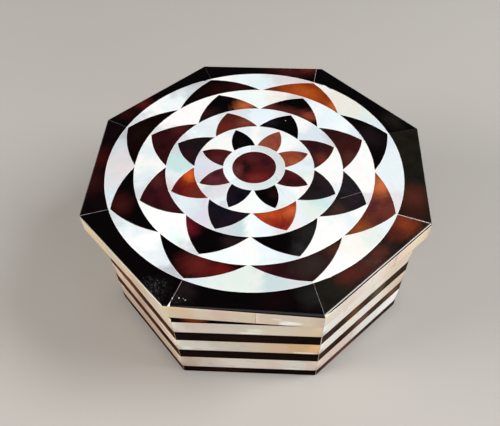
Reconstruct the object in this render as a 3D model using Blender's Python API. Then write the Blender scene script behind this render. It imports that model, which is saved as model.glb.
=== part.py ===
"""Octagonal lidded jewelry box with shell inlay.

A hollow eight-sided box stands on its underside. Seven flat bands run round its
walls, dark shell and pearl shell by turns. A loose lid, a little wider than the
box, rests on the rim: an eight-sided board with a pearl band round its edge and a
mosaic on top. The mosaic is a dark centre disc in a pearl ring, four rings of
eight dark petals, eight spokes of pearl tiles between them, and eight dark
border pieces that square the circle off to the octagon.

Units are metres, +Z is up, and the front of the box faces -Y.
"""

import math

import bmesh
import bpy
from mathutils import Vector

MM = 0.001
GAP = 0.3 * MM  # clearance between neighbouring pieces

# Heights above the surface the box stands on
H_TOTAL = 57.2 * MM
LID_BOTTOM = 49.9 * MM
TILE_T = 1.4 * MM  # thickness of the shell tiles on the lid
RIM = LID_BOTTOM - GAP
FLOOR_T = 5.0 * MM
BAND_LEVELS = (  # bottom and top of each band of the box, in mm
    ("dark_band_base", 0.4, 4.5),
    ("pearl_band_lower", 4.8, 12.9),
    ("dark_band_lower", 13.2, 19.1),
    ("pearl_band_middle", 19.4, 26.9),
    ("dark_band_upper", 27.2, 33.2),
    ("pearl_band_upper", 33.5, 40.8),
    ("dark_band_rim", 41.1, RIM / MM),
)

# Eight walls, counter-clockwise from the right (+X): turn off the true
# direction in degrees, and distance from the middle in mm. The box is
# hand-made, so no two are quite alike, and the lid's front edge runs
# about two degrees out of line with the wall below it.
LID_SIDES = ((0.2, 65.0), (0.7, 64.3), (0.3, 64.5), (0.8, 64.8), (-0.1, 64.9), (-0.5, 65.0), (-1.8, 64.7), (1.1, 63.9))
BOX_SIDES = ((0.6, 61.4), (0.6, 61.0), (0.6, 60.8), (0.7, 60.4), (0.7, 60.0), (-3.0, 61.3), (0.5, 60.3), (0.9, 60.9))

BAND_T = 1.2 * MM  # thickness of the shell strips round the box and the lid edge
WALL_T = 6.0 * MM  # thickness of the carcass walls
PAD_PLAY = 1.6 * MM  # play between the lid's locating pad and the carcass
PAD_DEPTH = 2.6 * MM

# Mosaic on the lid
MOSAIC_AT = (-1.46 * MM, 1.23 * MM)  # centre of the circles, off the middle of the lid
MOSAIC_TURN = math.radians(0.64)
DISC_R = 8.7 * MM
CIRCLES = [r * MM for r in (12.17, 23.55, 34.77, 47.14, 58.29)]  # ring outside, then the four petal circles
TIPS = [r * MM for r in (12.17, 22.85, 34.1, 46.45, 57.75)]  # radius of the petal tips
BULGE = (0.0, 0.115, 0.095, 0.08, 0.072)  # rise of a petal's side over its chord
NECK = 0.75 * MM  # half width of the pearl between two petal feet
SPOKE_TURNS = [math.radians(a) for a in (-1.4, -2.0, -0.5, 1.0, 1.4, 0.4, 0.3, 0.0)]

SIDE_NAMES = ("right", "rear_right", "rear", "rear_left", "left", "front_left", "front", "front_right")
RING_NAMES = ("", "inner", "second", "third", "outer")


# ---------------------------------------------------------------- outlines

def corner(side_a, side_b, inset):
    """Where two walls meet, each moved inwards by inset."""
    (a1, d1), (a2, d2) = side_a, side_b
    d1, d2 = d1 - inset, d2 - inset
    det = math.cos(a1) * math.sin(a2) - math.sin(a1) * math.cos(a2)
    return Vector(((d1 * math.sin(a2) - d2 * math.sin(a1)) / det,
                   (d2 * math.cos(a1) - d1 * math.cos(a2)) / det))


def octagon(sides, inset=0.0):
    """Corners of an eight-sided outline; corner i lies between walls i and i+1."""
    walls = [(math.radians(45 * i + turn), dist * MM) for i, (turn, dist) in enumerate(sides)]
    return [corner(walls[i], walls[(i + 1) % 8], inset) for i in range(8)]


_lid = octagon(LID_SIDES)
# the whole box is moved so that its bounding box is centred on the origin
SHIFT = Vector((-(max(p.x for p in _lid) + min(p.x for p in _lid)) / 2,
                -(max(p.y for p in _lid) + min(p.y for p in _lid)) / 2))


def polar(radius, angle):
    angle += MOSAIC_TURN
    return Vector((MOSAIC_AT[0] + radius * math.cos(angle), MOSAIC_AT[1] + radius * math.sin(angle)))


def bow(start, end, rise, away_from, steps):
    """Points of a circular arc that bulges away from a point."""
    chord = (end - start).length
    normal = Vector(((end - start).y, -(end - start).x)) / chord
    middle = (start + end) / 2
    if normal.dot(middle - away_from) < 0:
        normal = -normal
    sag = rise * chord
    radius = (chord * chord / 4 + sag * sag) / (2 * sag)
    centre = middle + normal * (sag - radius)
    a0 = math.atan2(start.y - centre.y, start.x - centre.x)
    a1 = math.atan2(end.y - centre.y, end.x - centre.x)
    turn = (a1 - a0 + math.pi) % (2 * math.pi) - math.pi
    return [centre + Vector((math.cos(a0 + turn * i / steps), math.sin(a0 + turn * i / steps))) * radius
            for i in range(steps + 1)]


def tip_angle(spoke):
    """Direction of dark spoke 0..7; spoke 0 is at 22.5 degrees."""
    return math.radians(22.5 + 45 * (spoke % 8)) + SPOKE_TURNS[spoke % 8] + (2 * math.pi if spoke > 7 else 0.0) - (2 * math.pi if spoke < 0 else 0.0)


def mid_angle(facet):
    """Direction half-way between the dark spokes on either side of a wall."""
    return (tip_angle(facet - 1) + tip_angle(facet)) / 2


def petal_feet(ring, spoke):
    """The two foot points of a petal, on the circle inside it."""
    slack = NECK / CIRCLES[ring - 1]
    return (polar(CIRCLES[ring - 1], mid_angle(spoke) + slack),
            polar(CIRCLES[ring - 1], mid_angle(spoke + 1) - slack))


def petal_sides(ring, spoke, steps):
    """(right side, left side) of a petal, each from its foot to its tip."""
    foot_a, foot_b = petal_feet(ring, spoke)
    tip = polar(TIPS[ring], tip_angle(spoke))
    middle = (foot_a + foot_b + tip) / 3
    return (bow(foot_a, tip, BULGE[ring], middle, steps), bow(foot_b, tip, BULGE[ring], middle, steps))


def circle_arc(radius, start, end, steps):
    return [polar(radius, start + (end - start) * i / steps) for i in range(steps + 1)]


def petal_outline(ring, spoke, steps=6):
    right, left = petal_sides(ring, spoke, steps)
    slack = NECK / CIRCLES[ring - 1]
    base = circle_arc(CIRCLES[ring - 1], mid_angle(spoke + 1) - slack, mid_angle(spoke) + slack, 5)
    return right + left[::-1][1:] + base[1:-1]


def pearl_spoke_outline(facet, steps=6):
    """Four pearl tiles, joined where the point of one meets the back of the next."""
    middle = mid_angle(facet)
    one_side, other_side = [], []
    for ring in range(1, 5):
        one_side += petal_sides(ring, facet, steps)[0]
        other_side += petal_sides(ring, facet - 1, steps)[1]
        slack = NECK / CIRCLES[ring] if ring < 4 else 0.0
        one_side += circle_arc(CIRCLES[ring], tip_angle(facet), middle + slack, 5)[:-1 if ring < 4 else None]
        other_side += circle_arc(CIRCLES[ring], tip_angle(facet - 1), middle - slack, 5)[:-1]
    return other_side + one_side[::-1]


def border_outline(facet):
    outer = octagon(LID_SIDES, -GAP / 2)
    inner = circle_arc(CIRCLES[4], tip_angle(facet), tip_angle(facet - 1), 8)
    return [outer[(facet - 1) % 8], outer[facet]] + inner


def area(points):
    return sum(p.x * q.y - q.x * p.y for p, q in zip(points, points[1:] + points[:1])) / 2


def inset(points, distance, longest=1.2 * MM):
    """Move every edge of a closed outline inwards, with mitred corners."""
    points = [p for i, p in enumerate(points) if (p - points[i - 1]).length > 0.02 * MM]
    if area(points) < 0:
        points = points[::-1]
    moved = []
    for i, here in enumerate(points):
        before = (here - points[i - 1]).normalized()
        after = (points[(i + 1) % len(points)] - here).normalized()
        n1, n2 = Vector((-before.y, before.x)), Vector((-after.y, after.x))
        both = n1 + n2
        length = distance / max(both.length / 2, 1e-6)
        moved.append(here + both.normalized() * min(length, longest))
    return moved


# ---------------------------------------------------------------- scene

for old in list(bpy.data.objects):
    bpy.data.objects.remove(old, do_unlink=True)

parts = bpy.data.collections.new("octagonal_jewelry_box")
cutters = bpy.data.collections.new("cutters")
bpy.context.scene.collection.children.link(parts)
bpy.context.scene.collection.children.link(cutters)
cutters.hide_render = True


def material(name, colour, roughness):
    made = bpy.data.materials.new(name)
    made.use_nodes = True
    shader = made.node_tree.nodes["Principled BSDF"]
    shader.inputs["Base Color"].default_value = (*colour, 1.0)
    shader.inputs["Roughness"].default_value = roughness
    shader.inputs["Metallic"].default_value = 0.0
    made.diffuse_color = (*colour, 1.0)
    return made


WOOD = material("carcass_wood", (0.20, 0.095, 0.045), 0.5)
PEARL = material("pearl_shell", (0.86, 0.86, 0.83), 0.15)
PEARL_SIDE = material("pearl_shell_cream", (0.76, 0.69, 0.58), 0.2)
DARK = material("dark_shell", (0.015, 0.008, 0.008), 0.1)
BROWN = material("dark_shell_brown", (0.10, 0.022, 0.012), 0.1)


def plate(name, outlines, low, high, paint, collection=parts):
    """A flat piece: one closed outline, and holes in it, between two heights."""
    curve = bpy.data.curves.new(name, "CURVE")
    curve.dimensions = "2D"
    curve.fill_mode = "BOTH"
    curve.extrude = (high - low) / 2
    for outline in outlines:
        spline = curve.splines.new("POLY")
        spline.points.add(len(outline) - 1)
        for point, here in zip(spline.points, outline):
            point.co = (here.x, here.y, 0.0, 1.0)
        spline.use_cyclic_u = True
    drawn = bpy.data.objects.new(name + "_outline", curve)
    drawn.location = (SHIFT.x, SHIFT.y, (low + high) / 2)
    collection.objects.link(drawn)
    bpy.context.view_layer.update()
    graph = bpy.context.evaluated_depsgraph_get()
    mesh = bpy.data.meshes.new_from_object(drawn.evaluated_get(graph))
    mesh.name = name
    welded = bmesh.new()
    welded.from_mesh(mesh)
    bmesh.ops.remove_doubles(welded, verts=welded.verts, dist=0.00001)
    bmesh.ops.recalc_face_normals(welded, faces=welded.faces)
    welded.to_mesh(mesh)
    welded.free()
    solid = bpy.data.objects.new(name, mesh)
    solid.matrix_world = drawn.matrix_world.copy()
    collection.objects.link(solid)
    bpy.data.objects.remove(drawn, do_unlink=True)
    mesh.materials.clear()
    mesh.materials.append(paint)
    return solid


def boolean(target, tool, operation):
    tool.hide_render = True
    tool.display_type = "WIRE"
    step = target.modifiers.new(tool.name, "BOOLEAN")
    step.operation = operation
    step.object = tool
    step.solver = "EXACT"


# ---------------------------------------------------------------- box

carcass_inset = BAND_T + GAP
carcass = plate("box_carcass", [octagon(BOX_SIDES, carcass_inset)], 0.0, RIM, WOOD)
hollow = plate("hollow_cutter", [octagon(BOX_SIDES, carcass_inset + WALL_T)], FLOOR_T, RIM + 5 * MM, WOOD, cutters)
boolean(carcass, hollow, "DIFFERENCE")

for band_name, low, high in BAND_LEVELS:
    plate(band_name, [octagon(BOX_SIDES), octagon(BOX_SIDES, BAND_T)], low * MM, high * MM,
          DARK if band_name.startswith("dark") else PEARL_SIDE)

# ---------------------------------------------------------------- lid

tile_low = H_TOTAL - TILE_T
board_top = tile_low - GAP
board = plate("lid_board", [octagon(LID_SIDES, BAND_T + GAP)], LID_BOTTOM, board_top, WOOD)
pad = plate("locating_pad", [octagon(BOX_SIDES, carcass_inset + WALL_T + PAD_PLAY)],
            LID_BOTTOM - PAD_DEPTH, LID_BOTTOM + 2 * MM, WOOD, cutters)
boolean(board, pad, "UNION")
plate("lid_pearl_edge", [octagon(LID_SIDES), octagon(LID_SIDES, BAND_T)], LID_BOTTOM, board_top, PEARL_SIDE)

disc = inset(circle_arc(DISC_R, 0.0, 2 * math.pi, 36)[:-1], GAP / 2)
plate("lid_centre_disc", [disc], tile_low, H_TOTAL, BROWN)
ring_out = inset(circle_arc(CIRCLES[0], 0.0, 2 * math.pi, 36)[:-1], GAP / 2)
ring_in = inset(circle_arc(DISC_R, 0.0, 2 * math.pi, 36)[:-1], -GAP / 2)
plate("lid_centre_ring", [ring_out, ring_in], tile_low, H_TOTAL, PEARL)

for ring in range(1, 5):
    for spoke in range(8):
        plate(f"petal_{RING_NAMES[ring]}_{spoke + 1}", [inset(petal_outline(ring, spoke), GAP / 2)],
              tile_low, H_TOTAL, BROWN if (ring + spoke) % 2 else DARK)

for facet in range(8):
    plate(f"pearl_spoke_{SIDE_NAMES[facet]}", [inset(pearl_spoke_outline(facet), GAP / 2)], tile_low, H_TOTAL, PEARL)
    plate(f"border_{SIDE_NAMES[facet]}", [inset(border_outline(facet), GAP / 2)], tile_low, H_TOTAL, DARK)

bpy.context.view_layer.update()
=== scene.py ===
"""Looks of the octagonal shell-inlaid jewelry box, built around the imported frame.

Every shell tile, wall strip, joint line and corner is its own mesh, laid out by
the same rules as the solids, in millimetres about the middle of the lid, and
moved into the row frame at the end. The lid mosaic is drawn with arcs and
lines, so each tile can be pulled in by its joint and its bevel exactly.
"""

import math
import random

import bpy
from mathutils import Matrix, Quaternion, Vector, noise
from mathutils.geometry import delaunay_2d_cdt


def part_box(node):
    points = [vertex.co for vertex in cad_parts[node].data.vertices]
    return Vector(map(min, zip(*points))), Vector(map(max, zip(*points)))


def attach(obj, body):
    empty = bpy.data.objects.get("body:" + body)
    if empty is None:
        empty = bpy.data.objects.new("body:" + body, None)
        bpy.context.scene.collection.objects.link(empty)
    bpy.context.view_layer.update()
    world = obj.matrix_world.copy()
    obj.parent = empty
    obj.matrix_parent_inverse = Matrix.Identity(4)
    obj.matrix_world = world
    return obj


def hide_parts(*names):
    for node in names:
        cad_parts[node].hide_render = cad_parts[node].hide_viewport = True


noise.seed_set(5)  # noise_vector takes its offsets from the clock otherwise
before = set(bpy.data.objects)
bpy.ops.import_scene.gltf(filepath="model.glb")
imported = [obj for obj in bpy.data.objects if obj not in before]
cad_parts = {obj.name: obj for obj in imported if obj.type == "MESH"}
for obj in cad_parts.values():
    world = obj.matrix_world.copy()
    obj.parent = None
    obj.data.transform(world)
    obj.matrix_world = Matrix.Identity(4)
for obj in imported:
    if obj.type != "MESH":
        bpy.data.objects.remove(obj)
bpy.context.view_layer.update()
MM = 0.001

# ---------------------------------------------------------------- sizes (mm)

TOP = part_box("lid_centre_disc")[1].z / MM
LID_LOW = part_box("lid_pearl_edge")[0].z / MM
TILE_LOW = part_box("lid_centre_disc")[0].z / MM
EDGE_T = 1.1  # depth to which the border pieces and their joints go
STRIP_T = 1.2  # thickness of the shell strips round the walls

LID_SIDES = ((0.2, 65.0), (0.7, 64.3), (0.3, 64.5), (0.8, 64.8), (-0.1, 64.9), (-0.5, 65.0), (-1.8, 64.7), (1.1, 63.9))
BOX_SIDES = ((0.6, 61.4), (0.6, 61.0), (0.6, 60.8), (0.7, 60.4), (0.7, 60.0), (-3.0, 61.3), (0.5, 60.3), (0.9, 60.9))
BANDS = (  # bottom and top of each band of the box
    ("dark_band_base", 0.15, 4.65),
    ("pearl_band_lower", 4.65, 13.05),
    ("dark_band_lower", 13.05, 19.25),
    ("pearl_band_middle", 19.25, 27.05),
    ("dark_band_upper", 27.05, 33.35),
    ("pearl_band_upper", 33.35, 40.65),
    ("dark_band_rim", 40.65, 49.55),
)
MOSAIC_AT = Vector((-1.46, 1.23))
MOSAIC_TURN = math.radians(0.64)
DISC_R = 8.7
CIRCLES = (12.17, 23.55, 34.77, 47.14, 58.29)
TIPS = (12.17, 22.85, 34.1, 46.45, 57.75)
BULGE = (0.0, 0.115, 0.095, 0.08, 0.072)
SPOKE_TURNS = (-1.4, -2.0, -0.5, 1.0, 1.4, 0.4, 0.3, 0.0)
SIDE_NAMES = ("right", "rear_right", "rear", "rear_left", "left", "front_left", "front", "front_right")
RING_NAMES = ("", "inner", "second", "third", "outer")

JOINT = 0.055  # half the width of the filler line between two tiles
SOFT = 0.045  # rounding of a tile's edge
FOOT = (0.0, 0.42, 0.24, 0.24, 0.30)  # half the gap between the feet of two petals of a ring
MITRES = {  # half width and tone of the filler line at each border corner, and how far it misses the corner
    0: (0.06, "faint", 0.0),
    1: (0.10, "light", 2.5),
    2: (0.05, "faint", 0.0),
    3: (0.08, "faint", 0.0),
    4: (0.09, "grey", 0.0),
    5: (0.11, "grey", 2.0),
    6: (0.07, "grey", 0.0),
    7: (0.13, "white", 0.0),
}
ROUND = (0.60, 0.55, 0.55, 0.55, 0.60, 0.66, 1.25, 1.00)  # radius of the lid's worn upper edge at each corner
REACH = {  # how far down that edge the dark tile comes: (share of the side, depth)
    5: ((0.0, 0.35), (1.0, 0.22)),
    6: ((0.0, 0.22), (0.3, 0.42), (0.6, 0.62), (1.0, 0.80)),
    7: ((0.0, 0.12), (0.05, 0.52), (0.14, 0.70), (1.0, 0.60)),
}


def edge_round(facet, share):
    """(radius, dark depth) of the lid's upper edge at a share of a side."""
    facet %= 8
    share = min(1.0, max(0.0, share))
    radius = ROUND[facet - 1] + (ROUND[facet] - ROUND[facet - 1]) * share
    if facet == 6:
        radius += 0.5 * share * (1 - share)
    steps = REACH.get(facet, ((0.0, 0.42), (1.0, 0.42)))
    for (s0, t0), (s1, t1) in zip(steps, steps[1:]):
        if share <= s1:
            return radius, t0 + (t1 - t0) * (share - s0) / (s1 - s0)
    return radius, steps[-1][1]


def fall(radius, inset):
    """How far the rounded edge has dropped at this distance in from the lid's side."""
    x = min(radius, max(0.0, radius - inset))
    return radius - math.sqrt(max(0.0, radius * radius - x * x))


def inset_at(radius, drop):
    """The reverse: how far in from the side the rounded edge has this drop."""
    y = radius - min(radius, drop)
    return radius - math.sqrt(max(0.0, radius * radius - y * y))


# ---------------------------------------------------------------- plane geometry

def wall_lines(sides):
    """Outward normal and distance of each wall."""
    return [(Vector((math.cos(math.radians(45 * i + turn)), math.sin(math.radians(45 * i + turn)))), dist)
            for i, (turn, dist) in enumerate(sides)]


def octagon(sides, inset=0.0):
    """Corners of an eight-sided outline; corner i lies between walls i and i+1."""
    walls = wall_lines(sides)
    found = []
    for i in range(8):
        (n1, d1), (n2, d2) = walls[i], walls[(i + 1) % 8]
        d1, d2 = d1 - inset, d2 - inset
        det = n1.x * n2.y - n1.y * n2.x
        found.append(Vector(((d1 * n2.y - d2 * n1.y) / det, (d2 * n1.x - d1 * n2.x) / det)))
    return found


LID_CORNERS = octagon(LID_SIDES)
SHIFT = Vector((-(max(p.x for p in LID_CORNERS) + min(p.x for p in LID_CORNERS)) / 2,
                -(max(p.y for p in LID_CORNERS) + min(p.y for p in LID_CORNERS)) / 2))
LID_WALLS = wall_lines(LID_SIDES)


def polar(radius, angle):
    angle += MOSAIC_TURN
    return MOSAIC_AT + Vector((math.cos(angle), math.sin(angle))) * radius


def tip_angle(spoke):
    turns = spoke // 8
    return math.radians(22.5 + 45 * (spoke % 8) + SPOKE_TURNS[spoke % 8]) + 2 * math.pi * turns


def mid_angle(facet):
    return (tip_angle(facet - 1) + tip_angle(facet)) / 2


def left_of(direction):
    return Vector((-direction.y, direction.x))


class Line:
    """A straight edge; the piece lies on its left."""

    def __init__(self, start, end, gap, bevel, outer=None, shares=(0.0, 1.0)):
        self.start, self.end, self.gap, self.bevel, self.outer, self.shares = start, end, gap, bevel, outer, shares

    def moved(self, by):
        first, last = by if isinstance(by, tuple) else (by, by)
        normal = left_of((self.end - self.start).normalized())
        a, b = self.start + normal * first, self.end + normal * last
        return ("line", a, (b - a).normalized())

    def parts(self):
        length = (self.end - self.start).length
        if length < 1.2:
            return [0.0, 0.5]
        if length < 5:
            return [0.0, 0.12, 0.3, 0.5, 0.7, 0.88]
        close = [d / length for d in (0.08, 0.2, 0.4, 0.65, 0.95, 1.3)]
        count = max(2, round(length / 1.2))
        inner = [close[-1] + (1 - 2 * close[-1]) * i / count for i in range(1, count)]
        return [0.0, *close, *inner, *[1 - d for d in reversed(close)]]

    def along(self, moved, start, end):
        return [start.lerp(end, t) for t in self.parts()]


class Arc:
    """A circular edge from one angle to another; the piece lies on its left."""

    def __init__(self, centre, radius, first, last, gap, bevel):
        self.centre, self.radius, self.first, self.last, self.gap, self.bevel = centre, radius, first, last, gap, bevel
        self.outer = None
        self.start = centre + Vector((math.cos(first), math.sin(first))) * radius
        self.end = centre + Vector((math.cos(last), math.sin(last))) * radius

    def moved(self, by):
        return ("circle", self.centre, self.radius - by * (1 if self.last > self.first else -1))

    def along(self, moved, start, end):
        centre, radius = moved[1], moved[2]
        a = math.atan2(start.y - centre.y, start.x - centre.x)
        b = math.atan2(end.y - centre.y, end.x - centre.x)
        if self.last > self.first:
            while b < a:
                b += 2 * math.pi
        else:
            while b > a:
                b -= 2 * math.pi
        count = max(3, round(abs(self.last - self.first) * self.radius / 0.55))
        return [centre + Vector((math.cos(a + (b - a) * i / count), math.sin(a + (b - a) * i / count))) * radius
                for i in range(count)]


def bow(start, end, rise, away_from, gap, bevel):
    """The arc from start to end that bulges away from a point."""
    chord = (end - start).length
    normal = Vector(((end - start).y, -(end - start).x)) / chord
    middle = (start + end) / 2
    if normal.dot(middle - away_from) < 0:
        normal = -normal
    sag = rise * chord
    radius = (chord * chord / 4 + sag * sag) / (2 * sag)
    centre = middle + normal * (sag - radius)
    first = math.atan2(start.y - centre.y, start.x - centre.x)
    turn = (math.atan2(end.y - centre.y, end.x - centre.x) - first + math.pi) % (2 * math.pi) - math.pi
    return Arc(centre, radius, first, first + turn, gap, bevel)


def crossing(one, other, near):
    """Where two moved edges cross, nearest to a point."""
    if one[0] == "circle" and other[0] == "line":
        one, other = other, one
    if one[0] == "line" and other[0] == "line":
        (_, p, d), (_, q, e) = one, other
        det = d.x * e.y - d.y * e.x
        if abs(det) < 1e-6:
            return p + d * (near - p).dot(d)
        t = ((q - p).x * e.y - (q - p).y * e.x) / det
        return p + d * t
    if one[0] == "line":
        (_, p, d), (_, c, r) = one, other
        foot = p + d * (c - p).dot(d)
        off = r * r - (foot - c).length_squared
        if off <= 0:
            return c + (foot - c).normalized() * r
        choices = [foot + d * math.sqrt(off), foot - d * math.sqrt(off)]
        return min(choices, key=lambda x: (x - near).length)
    (_, c, r), (_, e, s) = one, other
    apart = (e - c).length
    if apart < 1e-6:
        return c + (near - c).normalized() * r
    a = (apart * apart + r * r - s * s) / (2 * apart)
    off = r * r - a * a
    base = c + (e - c) * (a / apart)
    if off <= 0:
        return base
    side = left_of((e - c) / apart) * math.sqrt(off)
    return min([base + side, base - side], key=lambda x: (x - near).length)


def loop(edges, inward):
    """Points of the closed outline with every edge moved in by inward(edge)."""
    moved = [e.moved(inward(e)) for e in edges]
    corners = [crossing(moved[i - 1], moved[i], e.start) for i, e in enumerate(edges)]
    points = []
    for i, e in enumerate(edges):
        points += e.along(moved[i], corners[i], corners[(i + 1) % len(edges)])
    return points


def edge_distance(p):
    """How far inside the lid's outline a point is."""
    return min(d - n.dot(p) for n, d in LID_WALLS)


DENTS = ((114.6, 58.29, -0.42, 0.55), (60.5, 58.29, 0.40, 0.7), (57.5, 58.29, -0.22, 0.6), (111.6, 46.6, 0.3, 0.5),
         (203.0, 34.4, 0.2, 0.5), (299.0, 58.29, 0.16, 0.9), (23.5, 57.6, -0.25, 0.5))


def hand_cut(p):
    """The small wander of sawn edges, the same for both sides of a joint."""
    fade = min(1.0, max(0.0, edge_distance(p) / 2.0))
    wide, fine = Vector((p.x / 12, p.y / 12, 3.1)), Vector((p.x / 3.4, p.y / 3.4, 8.3))
    out = p + fade * (0.085 * noise.noise_vector(wide).xy + 0.030 * noise.noise_vector(fine).xy)
    for angle, radius, depth, width in DENTS:
        here = polar(radius, math.radians(angle))
        far = (p - here).length
        if far < 4 * width:
            out = out + (here - MOSAIC_AT).normalized() * depth * math.exp(-far * far / (2 * width * width))
    return out


def ripple(p):
    """Height of the lacquered face, never above 0."""
    return 0.010 * (noise.noise(Vector((p.x / 9, p.y / 9, 1.7))) - 1.0) + 0.003 * noise.noise(Vector((p.x / 2.6, p.y / 2.6, 5.2)))


def place(x, y, z):
    return ((x + SHIFT.x) * MM, (y + SHIFT.y) * MM, z * MM)


def inside(p, ring):
    hit = False
    j = len(ring) - 1
    for i in range(len(ring)):
        a, b = ring[i], ring[j]
        if (a.y > p.y) != (b.y > p.y) and p.x < (b.x - a.x) * (p.y - a.y) / (b.y - a.y) + a.x:
            hit = not hit
        j = i
    return hit


# ---------------------------------------------------------------- mesh building

class Builder:
    """Collects points and faces of one piece, each face with a material."""

    def __init__(self, name):
        self.name, self.points, self.faces, self.slots, self.materials = name, [], [], [], []

    def add(self, x, y, z):
        self.points.append(place(x, y, z))
        return len(self.points) - 1

    def slot(self, material):
        if material not in self.materials:
            self.materials.append(material)
        return self.materials.index(material)

    def face(self, corners, slot):
        self.faces.append(tuple(corners))
        self.slots.append(slot)

    def band(self, lower, upper, slot):
        """Quads between two closed loops of the same count."""
        for i in range(len(lower)):
            j = (i + 1) % len(lower)
            self.face((lower[i], lower[j], upper[j], upper[i]), slot)

    def done(self, nodes, sharp=32):
        mesh = bpy.data.meshes.new(self.name)
        mesh.from_pydata(self.points, [], self.faces)
        for material in self.materials:
            mesh.materials.append(material)
        mesh.polygons.foreach_set("material_index", self.slots)
        mesh.validate()
        mesh.shade_smooth()
        mesh.set_sharp_from_angle(angle=math.radians(sharp))
        made = bpy.data.objects.new(self.name, mesh)
        bpy.context.scene.collection.objects.link(made)
        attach(made, "root")
        if nodes:
            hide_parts(*nodes)
        return made


def tile(builder, edges, material, low=None, level=0.0, spacing=1.7):
    """One flat shell tile: straight sides, a softened rim, the lid's rounded edge where it has one, and a faintly rippled face."""
    slot = builder.slot(material)
    low = TILE_LOW if low is None else low
    high = TOP - level
    rims = [e for e in edges if e.outer is not None]

    def drop_at(p):
        """(drop of the rounded edge here, depth of the dark tile here)"""
        drop = 0.0
        for e in rims:
            run = (e.end - e.start)
            t = (p - e.start).dot(run.normalized()) / run.length
            radius, _ = edge_round(e.outer, e.shares[0] + (e.shares[1] - e.shares[0]) * t)
            drop = max(drop, fall(radius, left_of(run.normalized()).dot(p - e.start)))
        return drop

    def ring(part, extra=0.0):
        def inward(e):
            if e.outer is not None:
                ends = []
                for share in e.shares:
                    radius, deep = edge_round(e.outer, share)
                    first = inset_at(radius, deep)
                    # even steps of the rounding's angle
                    a0 = math.acos(min(1.0, max(0.0, (radius - first) / radius)))
                    turn = a0 + (math.pi / 2 - a0) * part
                    ends.append(radius * (1 - math.cos(turn)) + extra)
                return tuple(ends)
            return e.gap + e.bevel * min(1.0, 2.5 * part) + 0.012 * part + (extra if part else 0.0)
        return loop(edges, inward)

    if rims:
        levels = [(ring(k / 6), SOFT * (1.0, 0.3, 0.0, 0.0, 0.0, 0.0, 0.0)[k]) for k in range(7)]
    else:
        levels = [(ring(0.0), SOFT), (ring(0.18), 0.30 * SOFT), (ring(0.4), 0.0)]
    levels.append((ring(1.0, 0.14), 0.0))
    sides, flat = levels[0][0], levels[-1][0]
    rows = []
    for points, drop in levels:
        row = []
        for p in points:
            q = hand_cut(p)
            row.append(builder.add(q.x, q.y, high + ripple(q) - max(drop, drop_at(p))))
        rows.append(row)
    bottom = [builder.add(*hand_cut(p), low) for p in (ring(0.0, 0.10) if rims else sides)]
    builder.band(bottom, rows[0], slot)
    for lower, upper in zip(rows, rows[1:]):
        builder.band(lower, upper, slot)
    builder.face(bottom[::-1], slot)

    edge = [hand_cut(p) for p in flat]
    xs, ys = [p.x for p in edge], [p.y for p in edge]
    spots = []
    j = 0
    y = min(ys) + spacing / 2
    while y < max(ys):
        x = min(xs) + (spacing / 2 if j % 2 else 0.0)
        while x < max(xs):
            here = Vector((x, y))
            if inside(here, edge) and min((here - q).length_squared for q in edge) > (0.45 * spacing) ** 2:
                spots.append(here)
            x += spacing
        y += spacing * 0.866
        j += 1
    count = len(edge)
    found = delaunay_2d_cdt(edge + spots, [(i, (i + 1) % count) for i in range(count)], [], 1, 1e-5)
    where = {}
    for new, originals in enumerate(found[3]):
        if originals and originals[0] < count:
            where[new] = rows[-1][originals[0]]
    for new, p in enumerate(found[0]):
        if new not in where:
            where[new] = builder.add(p.x, p.y, high + ripple(p))
    for corners in found[2]:
        a, b, c = (found[0][k] for k in corners[:3])
        turned = (b - a).x * (c - a).y - (b - a).y * (c - a).x < 0
        builder.face([where[k] for k in (reversed(corners) if turned else corners)], slot)


def ribbon(builder, points, half, material, low, sink=0.014, closed=False, drops=None):
    """The filler line between two tiles, along the middle of their joint; half is its half width at each point."""
    slot = builder.slot(material)
    rows = []
    count = len(points)
    for i, p in enumerate(points):
        before = points[i - 1] if i or closed else p
        after = points[(i + 1) % count] if i < count - 1 or closed else p
        side = left_of((after - before).normalized()) * (half[i] if isinstance(half, list) else half)
        rows.append([])
        for q, z in ((p + side, None), (p - side, None), (p - side, low), (p + side, low)):
            at = hand_cut(q)
            fallen = drops[i] if drops else 0.0
            rows[-1].append(builder.add(at.x, at.y, TOP + ripple(at) - sink - fallen if z is None else min(z, TOP - fallen - 0.3)))
    for i in range(count if closed else count - 1):
        a, b = rows[i], rows[(i + 1) % count]
        for k in range(4):
            builder.face((a[k], a[(k + 1) % 4], b[(k + 1) % 4], b[k]), slot)
    if not closed:
        builder.face(rows[0][::-1], slot)
        builder.face(rows[-1], slot)


def wall_frame(sides, i):
    """(normal, along, distance, start and end of the wall measured along it)."""
    normal, dist = wall_lines(sides)[i]
    along = left_of(normal)
    corners = octagon(sides)
    return normal, along, dist, corners[i - 1].dot(along), corners[i].dot(along)


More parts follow.
